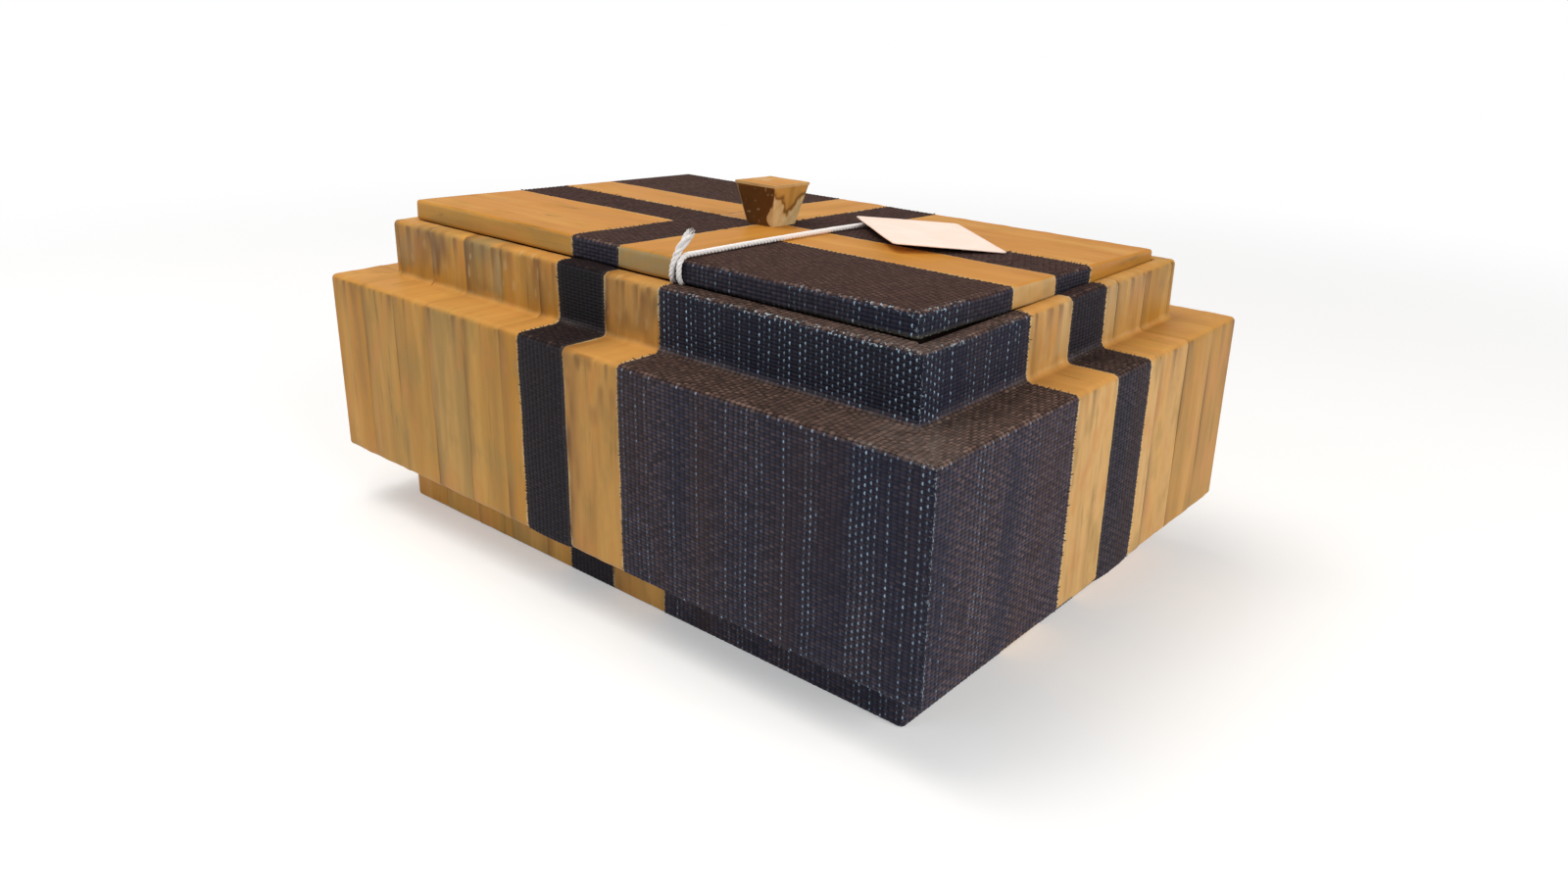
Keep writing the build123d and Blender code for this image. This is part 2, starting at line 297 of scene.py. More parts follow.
def lean_back(points):
    """Points of the level lid turned back about its lower front edge.

    With y and z counted from that edge, y becomes y cos + z sin, and z becomes z cos - y sin. Before that
    the covering is let down a little towards the left end and on its front edge.
    """
    left_share = (lid_half_length - points[..., 0]) / (2 * lid_half_length)
    front_share = np.clip((lid_half_width - points[..., 1]) / (2 * lid_half_width), 0, 1)
    below_top = np.clip((lid_top - points[..., 2]) / lid_thickness, 0, 1)
    let_down = lid_sag * left_share + lid_hem * front_share * below_top
    y, z = points[..., 1] + lid_half_width, points[..., 2] - lid_bottom - let_down
    back = y * math.cos(lid_lean) + z * math.sin(lid_lean) - lid_half_width
    up = z * math.cos(lid_lean) - y * math.sin(lid_lean) + lid_bottom
    return np.stack([points[..., 0], back, up], axis=-1)


def place_panel(skin, turn, along, length, height):
    """Points of a panel in the box's frame, with the share of the normal that is up and the bend of edges.

    Up to the corner's arc a point keeps its distance along the side. On the arc its angle is the distance
    past the arc's start over the arc's radius, at most an eighth turn, where the next side takes over.
    The height of the relief is added along the normal, and quarter turns bring the panel to its side.
    """
    inset, level, outward, upward, _ = skin.at(length)
    straight, radius = skin.corner_at(turn, length)
    past = np.abs(along) - straight
    angle = np.clip(past / radius, 0, math.pi / 4)
    at_corner = past > radius * math.pi / 4
    side_along = np.sign(along) * (np.minimum(np.abs(along), straight) + radius * np.sin(angle))
    side_along = side_along + height * outward * np.sign(along) * np.sin(angle)
    depth = skin.half[(turn + 1) % 2] - inset - radius * (1 - np.cos(angle))
    depth = depth + height * outward * np.cos(angle)
    level = np.maximum(level + height * upward, plinth_foot)
    points = np.stack([*quarter_turned(side_along, -depth, turn), level], axis=-1)
    rising = np.interp(length, skin.length, np.gradient(skin.upward, skin.length)) > 0
    bend = np.clip(4 * np.abs(outward * upward) * rising + 1.5 * np.sin(angle) * np.abs(outward), 0, 1)
    return points, upward, bend, at_corner


def to_corner(skin, turn, along, length, corner):
    """Distance along a side to the line where the next side takes over; far away for a panel without one."""
    straight, radius = skin.corner_at(turn, length)
    return straight + radius * math.pi / 4 - np.abs(along) if corner else no_border


def in_rebate(skin, length):
    """Share from 0 on the outside to 1 on the run down into the lid's rebate."""
    return skin.mitred * smooth_step(skin.at(length)[0], skin.mouth - 1.2, skin.mouth - 0.3)


def grid_faces(rows, columns):
    """Quads of a grid whose points are listed row by row, turned outwards."""
    index = np.arange(rows * columns).reshape(rows, columns)
    quads = (index[:-1, :-1], index[:-1, 1:], index[1:, 1:], index[1:, :-1])
    return np.stack([quad.ravel() for quad in quads], axis=1)


def with_skirts(steps, low, high):
    """Grid steps with the first and last repeated for a turned-down edge, and which those are."""
    down = np.zeros(len(steps), bool)
    if low:
        steps, down = np.concatenate([steps[:1], steps]), np.concatenate([[True], down])
    if high:
        steps, down = np.concatenate([steps, steps[-1:]]), np.concatenate([down, [True]])
    return steps, down


def skirted_grid(across, upwards, low, high):
    """Grid over two rows of steps with turned-down edges, and which of its points are turned down."""
    across, down_across = with_skirts(across, low, high)
    upwards, down_upwards = with_skirts(upwards, True, True)
    return *np.meshgrid(across, upwards), down_across[None, :] | down_upwards[:, None]


def meet_corner(height, gap, kind):
    """Height that goes over into the covering's one height at a corner, eased over the last stretch."""
    share = smooth_step(gap, 0, corner_blend)
    return height * share + corner_rise[kind] * (1 - share)


def border_wave(place, length):
    """Wavering of a cut edge: three sine waves of shrinking size, out of step from edge to edge."""
    waves = ((0.24, 27.0, 1.7), (0.15, 8.3, 4.1), (0.09, 3.1, 2.3))
    return sum(size * np.sin(2 * math.pi * length / span + place * phase) for size, span, phase in waves)


class Panel:
    """Grid of one panel: its skin and side, places along the side, and lengths up the section."""

    def __init__(self, skin, turn, corner, along, length, seed):
        self.skin, self.turn, self.corner, self.seed = skin, turn, corner, seed
        self.along, self.length = along, length
        _, self.level, self.outward, self.upward, _ = skin.at(length)

    def noise(self, wide, tall, step):
        """Smooth noise with lumps that wide along the side and that tall up it."""
        return lattice_noise(self.along / wide, self.length / tall, self.seed + step)


class Sheet:
    """Points, quads, pattern coordinates, tones, and stains with painted shade, that become one mesh."""

    def __init__(self):
        self.points, self.faces, self.pattern, self.tone, self.stain_and_shade = [], [], [], [], []
        self.count = 0

    def add(self, points, faces, pattern, tone=(0, 0, 0, 0), stain_and_shade=(0, 0, 0, 0)):
        """Take in one more grid; tone and the stains with painted shade are four values or grids each."""
        shape = points.shape[:-1]
        self.faces.append(faces + self.count)
        self.points.append(points.reshape(-1, 3))
        self.pattern.append(pattern.reshape(-1, 2))
        for kept, parts in ((self.tone, tone), (self.stain_and_shade, stain_and_shade)):
            kept.append(np.stack([np.broadcast_to(part, shape).ravel() for part in parts], axis=-1))
        self.count += len(self.points[-1])

    def add_panel(self, panel, height, pattern, tone, stain_and_shade):
        """Take in one panel, without the quads that lie past the corner."""
        place = (panel.skin, panel.turn, panel.along, panel.length)
        points, upward, bend, at_corner = place_panel(*place, height)
        faces = grid_faces(*height.shape)
        faces = faces[~at_corner.ravel()[faces].all(axis=1)]
        self.add(points, faces, pattern, (*tone, upward, bend), stain_and_shade)


def grid_sheet(places, pattern, tone=(0, 0, 0, 0), stain_and_shade=(0, 0, 0, 0)):
    """Sheet of one grid, from the grids of its x, y and z and of its two pattern coordinates."""
    sheet = Sheet()
    faces = grid_faces(*places[0].shape)
    sheet.add(np.stack(places, axis=-1), faces, np.stack(pattern, axis=-1), tone, stain_and_shade)
    return sheet


def make_piece(sheet, name, finish, body, nodes, leaned=False):
    """Mesh object from a sheet, in metres, with its coincident points joined, riding on its body."""
    points = np.concatenate(sheet.points)
    points = (lean_back(points) if leaned else points) * MM
    used, faces = np.unique(np.concatenate(sheet.faces), return_inverse=True)
    faces = faces.reshape(-1, 4)
    mesh = bpy.data.meshes.new(name)
    mesh.vertices.add(len(used))
    mesh.vertices.foreach_set("co", points[used].astype(np.float32).ravel())
    mesh.loops.add(faces.size)
    mesh.loops.foreach_set("vertex_index", faces.astype(np.int32).ravel())
    mesh.polygons.add(len(faces))
    mesh.polygons.foreach_set("loop_start", np.arange(0, faces.size, 4, dtype=np.int32))
    mesh.update(calc_edges=True)
    pattern = np.concatenate(sheet.pattern)[used][faces.ravel()]
    layer = mesh.uv_layers.new(name="pattern")
    layer.uv.foreach_set("vector", pattern.astype(np.float32).ravel())
    for attribute, values in (("tone", sheet.tone), ("stain_and_shade", sheet.stain_and_shade)):
        made = mesh.attributes.new(attribute, "FLOAT_COLOR", "POINT")
        made.data.foreach_set("color", np.concatenate(values)[used].astype(np.float32).ravel())
    joined = bmesh.new()
    joined.from_mesh(mesh)
    bmesh.ops.remove_doubles(joined, verts=joined.verts, dist=join_distance * MM)
    joined.to_mesh(mesh)
    joined.free()
    mesh.polygons.foreach_set("use_smooth", np.ones(len(mesh.polygons), bool))
    mesh.set_sharp_from_angle(angle=smooth_angle)
    mesh.materials.append(finish)
    piece = bpy.data.objects.new(name, mesh)
    bpy.context.scene.collection.objects.link(piece)
    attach(piece, body)
    if nodes:
        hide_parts(*nodes)
    return piece


def weave_height_at(columns, rows, seed):
    """Height of a plain weave, from 0 to 1, over cells of one warp and one weft yarn.

    In every other cell the warp lies on top: cosine along the yarn times a half ellipse across it. In the
    cells between, the weft lies on top in the same way. Each yarn is a little fuller or flatter.
    """
    across = np.abs(2 * (columns - np.floor(columns)) - 1)
    along = np.abs(2 * (rows - np.floor(rows)) - 1)
    warp_on_top = (np.floor(columns) + np.floor(rows)) % 2
    warp = np.cos(along * math.pi / 2) ** 0.7 * np.sqrt(1 - 0.9 * across**2)
    weft = np.cos(across * math.pi / 2) ** 0.7 * np.sqrt(1 - 0.9 * along**2)
    warp = warp * (0.88 + 0.22 * lattice_noise(np.floor(columns) * 0.83, rows * 0.06, seed))
    weft = weft * (0.78 + 0.2 * lattice_noise(columns * 0.05, np.floor(rows) * 0.77, seed + 5))
    return warp_on_top * warp + (1 - warp_on_top) * weft


def cloth_panel(
    sheet, skin, turn, low, high, seed, corner=0, end=None, end_tucked=False, end_joined=False, pad=0.0,
    **look,
):
    """Woven panel between two places along a side, tucked under the stalks at its borders.

    Height is the weave, a slow unevenness, and a pad that falls off by the cube of the distance from the
    panel's middle. Over the last stretch before a border it sinks to the tuck, and towards a corner it goes
    over into one height, so that both sides meet on one line. Gives back the width and length that the panel
    was cut to.
    """
    low = low - (past_corner if corner < 0 else cloth_overlap)
    high = high + (past_corner if corner > 0 else cloth_overlap)
    width = high - low
    run = (skin.length[-1] if end is None else end) + cloth_overlap * end_tucked
    columns = max(1, round(width / warp_pitch)) * yarn_steps + 1
    rows = max(1, round(run / weft_pitch)) * yarn_steps + 1
    t, s, down = skirted_grid(np.linspace(0, 1, columns), np.linspace(0, 1, rows), corner >= 0, corner <= 0)
    steps = t * (columns - 1), s * (rows - 1)
    along, length = low + width * t, run * s
    corner_gap = to_corner(skin, turn, along, length, corner)
    wander = yarn_wander * lattice_noise(t * columns / 18, length / 16, seed + 11)
    panel = Panel(skin, turn, corner, along + wander * np.clip(corner_gap / 6, 0, 1), length, seed)

    weave = weave_height * weave_height_at(*(np.round(count) / yarn_steps for count in steps), seed)
    slow = cloth_uneven * panel.noise(13, 17, 2) + cloth_sag * skin.mitred * panel.noise(36, 60, 4)
    from_low = no_border if corner < 0 else width * t
    from_high = no_border if corner > 0 else width * (1 - t)
    from_end = run * (1 - s)
    border = np.minimum(np.minimum(from_low, from_high), from_end if end_tucked else no_border)
    sunk = np.clip(1 - border / cloth_overlap, 0, 1) ** 1.5
    raised = pad * skin.mitred * (1 - np.abs(2 * t - 1) ** 3)
    height = (weave + slow + raised) * (1 - sunk) * (1 - in_rebate(skin, length)) - cloth_tuck * sunk
    height = meet_corner(height, np.minimum(corner_gap, from_end if end_joined else no_border), CLOTH)
    height = np.where(down, -skirt, height)
    pattern = np.stack([steps[0] / yarn_steps + 100 * (seed % 7), steps[1] / yarn_steps], axis=-1)
    sheet.add_panel(panel, height, pattern, *cloth_tones(panel, width, border, corner_gap, **look))
    return width, run


def cloth_tones(panel, width, border, corner_gap, shine, shade=0.0, foot_pale=0.0):
    """Tone, and stains with painted shade, of a cloth panel.

    Tone is fraying at borders and in the fold above the belt, a paling of ledges towards the corner, and
    painted glints, which change from the first strength to the second towards the corner. The stains are
    painted shade, warmth that the lid's edge and the rim's faces lose for a painted cool reflection, the pale
    board at the foot, and the ledge's share, which picks the ledge's lit colours.
    """
    skin, level, noise = panel.skin, panel.level, panel.noise
    upward = np.clip(panel.upward, 0, 1)
    has_corner = panel.corner != 0
    fold = bell(panel.length - np.interp(belt_top + 1.5, skin.height, skin.length), 1.6)
    dust = skin.mitred * fold * (0.45 + 0.45 * noise(5, 3, 3))
    rim_ledge = smooth_step(level, rim_top - 2, rim_top - 0.5) * upward * has_corner
    belt_ledge = smooth_step(level, belt_top - 4, belt_top - 1) * (level < rim_top - 4)
    ledge = skin.mitred * (belt_ledge + rim_ledge)
    # Ledges grow paler towards corners, where they also lose the painted shade
    paler_corner = ledge * upward * fading(corner_gap, paler_corner_reach)
    fray = np.maximum(fading(border - cloth_overlap, 0.8) * 0.5, dust)
    fray = np.maximum(fray, paler_corner * (0.9 + 0.6 * noise(3, 3, 9)))
    nearness = np.clip(1 - corner_gap / width, 0, 1)
    lid_edge = (level > lid_bottom) & (level < lid_top - 1)
    rim = smooth_step(level, belt_top + 2, belt_top + 5) * (level < lid_bottom) * (1 - upward)
    bright = shine[0] + (shine[1] - shine[0]) * nearness + 0.14 * noise(7, 45, 7)
    bright = bright + 0.42 * skin.mitred * has_corner * (level > belt_top + 1.5)
    bright = bright - 0.3 * lid_edge * (1 - nearness**4)
    # Random warmth, lost on the lid's edge and the rim's faces, which take a painted cool reflection
    warmth_and_cool_reflection = (0.5 + 0.5 * noise(9, 70, 8)) * (1 - 0.95 * lid_edge - 0.6 * rim)
    pale_foot = foot_pale * bell(panel.length - tuck_under, 0.5) * np.exp(-corner_gap / 25)
    # Painted shade: the panel's own, more on the rim's upright faces and the lid's edge
    dark = shade * (1 - paler_corner) + rim_shade * (rim + 1.3 * lid_edge)
    return (fray, bright), (dark, warmth_and_cool_reflection, pale_foot, ledge)


def stalk_panel(
    sheet, skin, turn, low, high, seed, hue, corner=0, start=0.0, end=None, cut_low=False, cut_high=False,
    cut_end=False, lengthwise=True, **stains,
):
    """Pressed stalk strip between two places along a side.

    Height is a low parabola across the strip, faint fibres along it, slow blisters, dents on its bent edges,
    and borders that sink by the square of their nearness. A cut edge beside the cloth wavers, and a joint
    between strips stays straighter.
    """
    stop = skin.length[-1] if end is None else end
    first = low - past_corner if corner < 0 else low + stalk_seam
    last = high + past_corner if corner > 0 else high - stalk_seam
    columns = max(4, round((last - first) / stalk_step)) + 1
    rows = max(4, round((float(np.max(stop)) - start) / stalk_step)) + 1
    close = np.array(close_steps) / (last - first)
    steps = np.unique(np.concatenate([np.linspace(0, 1, columns), close, 1 - close]))
    t, s, down = skirted_grid(steps, np.linspace(0, 1, rows), corner >= 0, corner <= 0)
    stop = np.interp(first + (last - first) * t[0], *end) if isinstance(end, tuple) else stop
    length = start + (stop - start) * s
    wave_low = border_wave(low + 7 * turn, length) * (1.0 if cut_low else wave_at_seam) * (corner >= 0)
    wave_high = border_wave(high + 7 * turn, length) * (1.0 if cut_high else wave_at_seam) * (corner <= 0)
    along = first + wave_low + (last + wave_high - first - wave_low) * t
    if cut_end:
        length = length + border_wave(seed, along) * s**8
    panel = Panel(skin, turn, corner, along, length, seed)
    grain, run = (along, length) if lengthwise else (length, along)

    def grain_noise(wide, tall, step):
        """Smooth noise with lumps that wide across the fibres and that tall along them."""
        return lattice_noise(grain / wide, run / tall, seed + step)

    from_low = no_border if corner < 0 else along - along[:, :1]
    from_high = no_border if corner > 0 else along[:, -1:] - along
    from_end = (stop - start) * (1 - s) if cut_end else no_border
    edge = np.minimum(np.minimum(from_low, from_high), from_end)
    fibres = stalk_fibres[0] * grain_noise(0.9, 70, 0) + stalk_fibres[1] * grain_noise(2.6, 90, 1)
    blisters = stalk_blister * grain_noise(9, 30, 2)
    dents = stalk_dent * np.abs(panel.outward * panel.upward) * (panel.noise(5, 5, 4) - 0.2)
    crown = stalk_crown * (1 - (2 * t - 1) ** 2)
    sunk = np.clip(1 - edge / seam_round, 0, 1) ** 2
    height = stalk_lift + crown + fibres + blisters + dents - seam_sink * sunk
    height = height * (1 - in_rebate(skin, length))
    height = meet_corner(height, to_corner(skin, turn, along, length, corner), STALK)
    height = np.where(down, -skirt, height)
    pattern = np.stack([grain + 40.0 * hue + seed, run], axis=-1)

    cut = np.minimum(from_low if cut_low else no_border, from_high if cut_high else no_border)
    seams = no_border if cut_low else from_low, no_border if cut_high else from_high
    patches = smooth_step(lattice_noise(run / 22 + 3, low / 9, seed + 5), -0.5, 0.6)
    pale, seam_and_shadow = border_tones(panel, np.minimum(cut, from_end), *seams, patches)
    flecks, brown, olive = stalk_stains(panel, from_low, **stains)
    tone, stain_and_shade = (np.maximum(pale, flecks), hue), (seam_and_shadow, brown, olive, 1.0 * skin.mitred)
    sheet.add_panel(panel, height, pattern, tone, stain_and_shade)


def border_tones(panel, cut, seam_low, seam_high, patches):
    """Pale core at a strip's cut borders, and its dark seams, with a patchy shadow beside the first."""
    pale_width = 0.55 + 0.35 * lattice_noise(panel.length / 5, panel.along / 5, panel.seed + 3)
    pale = bell(np.maximum(cut, 0), pale_width)
    shadow = 0.7 * bell(seam_low, 2.6) * (0.15 + 0.85 * patches)
    seam_and_shadow = bell(np.minimum(seam_low, seam_high), 0.35) * (0.05 + 0.3 * patches) + shadow
    return pale, seam_and_shadow * (1 - 0.75 * np.clip(panel.upward, 0, 1))


def stalk_stains(
    panel, from_low, brown=0.0, olive=0.0, peel=0.0, edge_brown=0.0, face_pale=0.0, face_olive=0.0
):
    """Pale, brown and olive shares of a strip's stains.

    The stains brown, olive and peel lie on the rim's part of the strip, edge_brown beside its first border
    and below its bent edges, and the face stains on the lid's edge. Some brown runs down from every edge.
    """
    skin, level, noise = panel.skin, panel.level, panel.noise
    on_rim = smooth_step(level, belt_top + 2, belt_top + 6) * skin.mitred
    next_edge = np.where(level > belt_top + 1, rim_top, belt_top)
    below_edge = next_edge - level if skin.mitred else no_border
    runs_down = smooth_step(noise(1.7, 60, 6), -0.1, 0.55)
    top_brown = 0.75 * runs_down * fading(below_edge, 5 + 6 * runs_down) * (below_edge > 1)
    rim_brown = brown * on_rim * smooth_step(noise(8, 18, 7) + 0.3 * noise(1.6, 17, 12), 0.0, 0.9)
    beside = fading(from_low, 4.5) * (0.6 + 0.5 * noise(2, 12, 13))
    blotches = smooth_step(noise(6, 9, 17) + 0.4 * noise(1.6, 8, 18), -0.2, 0.9)
    blotches = 0.7 * blotches * fading(below_edge, 18) * (below_edge > 0.5)
    all_brown = np.maximum(np.maximum(top_brown, rim_brown), edge_brown * np.maximum(beside, blotches))
    face = smooth_step(panel.outward, 0.3, 0.9) * (0.75 + 0.25 * noise(3, 2, 14))
    all_olive = np.maximum(olive * on_rim * smooth_step(noise(10, 12, 8), -0.4, 0.4), face_olive * face)
    cream = 0.32 * smooth_step(noise(14, 30, 15) + 0.35 * noise(2, 8, 16), 0.0, 0.8)
    flecks = on_rim * np.maximum(peel * smooth_step(noise(1.5, 7, 9), 0.5, 0.75), cream)
    return np.maximum(flecks, face_pale * face), all_brown, all_olive


# Finishes


def colour(red, green, blue):
    """Scene colour of a display colour given from 0 to 255."""
    share = np.array([red, green, blue]) / 255
    linear = np.where(share <= 0.04045, share / 12.92, ((share + 0.055) / 1.055) ** 2.4)
    return (*linear.tolist(), 1.0)


class Nodes:
    """Short ways to add nodes to a tree and join their sockets.

    A colour is an output of a node, a display colour of three numbers, or a scene colour of four.
    """

    def __init__(self, tree):
        self.tree = tree

    def add(self, kind, sockets=None, **settings):
        """Node of a kind with settings; sockets are numbers, scene colours or other nodes' outputs."""
        made = self.tree.nodes.new(kind)
        for setting, value in settings.items():
            setattr(made, setting, value)
        for socket, value in (sockets or {}).items():
            if isinstance(value, bpy.types.NodeSocket):
                self.tree.links.new(value, made.inputs[socket])
            else:
                made.inputs[socket].default_value = value
        return made

    def math(self, operation, first, second=0.0, third=0.0, clamp=False):
        """Output of a math node."""
        sockets = {0: first, 1: second, 2: third}
        return self.add("ShaderNodeMath", sockets, operation=operation, use_clamp=clamp).outputs[0]

    def times(self, product, *factors):
        """Product of all values."""
        for factor in factors:
            product = self.math("MULTIPLY", product, factor)
        return product

    def scaled(self, value, factor, plus):
        """Value times a factor, plus another."""
        return self.math("MULTIPLY_ADD", value, factor, plus)

    def blend(self, share, *colours):
        """Colour between two colours."""
        sockets = {"Factor": share}
        for socket, value in zip((6, 7), colours):
            display = isinstance(value, tuple) and len(value) == 3
            sockets[socket] = colour(*value) if display else value
        return self.add("ShaderNodeMix", sockets, data_type="RGBA").outputs[2]

    def layers(self, base, *layers):
        """Base colour with tints laid over it in turn, each as strong as the product of its shares."""
        for tint, *shares in layers:
            base = self.blend(self.times(*shares), base, tint)
        return base

    def ramp(self, value, low, high):
        """Value spread so that low becomes 0 and high becomes 1, eased."""
        sockets = {"Value": value, "From Min": low, "From Max": high}
        return self.add("ShaderNodeMapRange", sockets, interpolation_type="SMOOTHSTEP").outputs["Result"]

    def noise(self, vector, scale, detail=2.0, roughness=0.5):
        """Noise value at a place, with the vector stretched by three scales first."""
        moved = self.add("ShaderNodeMapping", {"Vector": vector, "Scale": scale}).outputs[0]
        sockets = {"Vector": moved, "Scale": 1.0, "Detail": detail, "Roughness": roughness}
        return self.add("ShaderNodeTexNoise", sockets).outputs["Fac"]

    def random(self, dimensions, **place):
        """Random value of a place."""
        return self.add("ShaderNodeTexWhiteNoise", place, noise_dimensions=dimensions).outputs["Value"]

    def seen(self):
        """1 where the camera, a gloss or a clear surface looks, 0 for light that falls on the object."""
        ray = self.add("ShaderNodeLightPath").outputs
        either = self.math("MAXIMUM", ray["Is Camera Ray"], ray["Is Glossy Ray"])
        return self.math("MAXIMUM", either, ray["Is Transmission Ray"])


class Finish(Nodes):
    """Material with one principled shader, its constant sockets set directly."""

    def __init__(self, name, **constants):
        self.material = bpy.data.materials.new(name)
        self.material.use_nodes = True
        super().__init__(self.material.node_tree)
        self.shader = self.tree.nodes["Principled BSDF"]
        for socket, value in constants.items():
            self.shader.inputs[socket.replace("_", " ")].default_value = value

    def pattern(self):
        """Coordinates of the piece's own pattern."""
        return self.add("ShaderNodeUVMap", uv_map="pattern").outputs[0]

    def place(self):
        """Place on the object, in metres."""
        return self.add("ShaderNodeTexCoord").outputs["Object"]

    def attribute(self, name):
        """The four channels of a colour attribute."""
        made = self.add("ShaderNodeAttribute", attribute_name=name)
        parts = self.add("ShaderNodeSeparateColor", {0: made.outputs["Color"]})
        return *parts.outputs, made.outputs["Alpha"]

    def join(self, socket, output):
        """Join an output to a socket of the shader."""
        self.tree.links.new(output, self.shader.inputs[socket])

    def relief(self, height, strength, distance):
        """Fine relief of the surface, its distance in millimetres."""
        sockets = {"Strength": strength, "Distance": distance * MM, "Height": height}
        self.join("Normal", self.add("ShaderNodeBump", sockets).outputs[0])


def cloth_finish():
    """Dark plain weave: cells of the pattern are yarn crossings, glints sit on the warp crests.

    The attribute tone gives fraying, painted glints, the upward share of the normal and bends; the attribute
    of stains and shade gives painted shade, warmth, the pale board at a foot and the ledge's share. Tops and
    the ledge take a lit brown and upright faces a cool, shaded navy: painted light.
    """
    cloth = Finish("woven_cloth")
    ramp, times, scaled, blend = cloth.ramp, cloth.times, cloth.scaled, cloth.blend
    pattern = cloth.pattern()
    ways = cloth.add("ShaderNodeSeparateXYZ", {0: pattern}).outputs[:2]
    column, row = [cloth.math("FLOOR", way) for way in ways]
    in_cell = [cloth.math("SUBTRACT", cloth.math("FRACT", way), 0.5) for way in ways]
    parity = cloth.math("FRACT", times(cloth.math("ADD", column, row), 0.5))
    warp_on_top = cloth.math("GREATER_THAN", parity, 0.25)
    weft_on_top = cloth.math("LESS_THAN", parity, 0.25)

    def crest(wide, tall, on_top):
        """Share that falls with the squares of the distances in a cell, from 1 to 0 on an ellipse."""
        shares = [cloth.math("DIVIDE", way, half) for way, half in zip(in_cell, (wide, tall))]
        squares = [cloth.math("POWER", share, 2.0) for share in shares]
        return times(cloth.math("SUBTRACT", 1.0, cloth.math("ADD", *squares), clamp=True), on_top)

    cell = cloth.add("ShaderNodeCombineXYZ", {0: column, 1: row}).outputs[0]
    spot, yarn = cloth.random("2D", Vector=cell), cloth.random("1D", W=column)
    fray, shine, upward, bend = cloth.attribute("tone")
    shade, warmth_and_cool_reflection, pale_foot, ledge = cloth.attribute("stain_and_shade")
    level = ramp(upward, 0.25, 0.8)
    upright = cloth.math("SUBTRACT", 1.0, level)
    fullness = scaled(spot, 0.75, 0.4)
    warp_crest, weft_crest = crest(0.62, 0.72, warp_on_top), crest(0.7, 0.6, weft_on_top)
    yarns = cloth.math("MAXIMUM", warp_crest, weft_crest)
    # Patches in which the painted glints and top-edge highlights cluster
    highlight_patch = cloth.noise(pattern, (0.3, 0.06, 1.0))
    chance = scaled(yarn, 1.5, scaled(highlight_patch, 1.4, -1.95))
    lit = cloth.math("ADD", chance, times(shine, 1.5), clamp=True)
    edge_lit = times(bend, ramp(spot, 0.3, 0.95), 0.9, ramp(shine, -0.3, 0.1))
    glint = cloth.math("MAXIMUM", times(lit, scaled(spot, 0.8, 0.2)), edge_lit)
    glint = times(ramp(crest(0.17, 0.66, warp_on_top), 0.05, 0.7), glint)
    # Lighter crests along bent top edges: painted highlight
    top_bend_highlight = times(bend, level, yarns, ramp(spot, 0.2, 1.0), ramp(highlight_patch, 0.3, 0.65))
    # Sparkle on bent edges near corners: painted highlight
    chips_and_sparkle = ramp(cloth.noise(pattern, (1.9, 1.3, 1.0)), 0.56, 0.66)

    # Tops and the ledge take a lit brown and upright faces a shaded navy: painted top light
    valley = blend(level, (20, 18, 24), blend(ledge, (44, 32, 30), (22, 17, 18)))
    weft = blend(level, (98, 84, 88), blend(ledge, (80, 60, 55), (122, 97, 86)))
    warp = blend(level, (78, 73, 90), blend(ledge, (86, 65, 59), (96, 76, 68)))
    # Painted light among the layers: cool tints on upright faces, shade, top-edge highlight, glints, sparkle
    base = cloth.layers(
        valley,
        (weft, weft_crest, fullness),
        (warp, warp_crest, fullness),
        ((66, 48, 44), ramp(warmth_and_cool_reflection, 0.45, 0.95), 0.4),
        ((30, 34, 52), ramp(warmth_and_cool_reflection, 0.5, 0.05), upright, 0.4),
        ((19, 27, 50), ramp(shine, 0.0, 0.7), upright, 0.62),
        ((18, 16, 20), shade, 0.8),
        ((138, 114, 104), top_bend_highlight, scaled(shade, -0.5, 0.65)),
        (blend(level, (164, 192, 212), (140, 112, 100)), glint, scaled(level, -0.7, 0.95)),
        ((184, 204, 214), bend, ramp(shine, 0.35, 0.8), 0.8, chips_and_sparkle),
        ((112, 102, 98), fray, 0.35),
        ((176, 168, 136), pale_foot),
    )
    cloth.join("Base Color", base)
    cloth.join("Specular IOR Level", scaled(level, -0.1, 0.12))
    cloth.join("Roughness", scaled(glint, -0.2, 0.66))
    fine = cloth.noise(pattern, (5.0, 0.9, 1.0))
    cloth.relief(scaled(fine, 0.3, cloth.math("SQRT", yarns)), 0.8, 0.3)
    return cloth.material


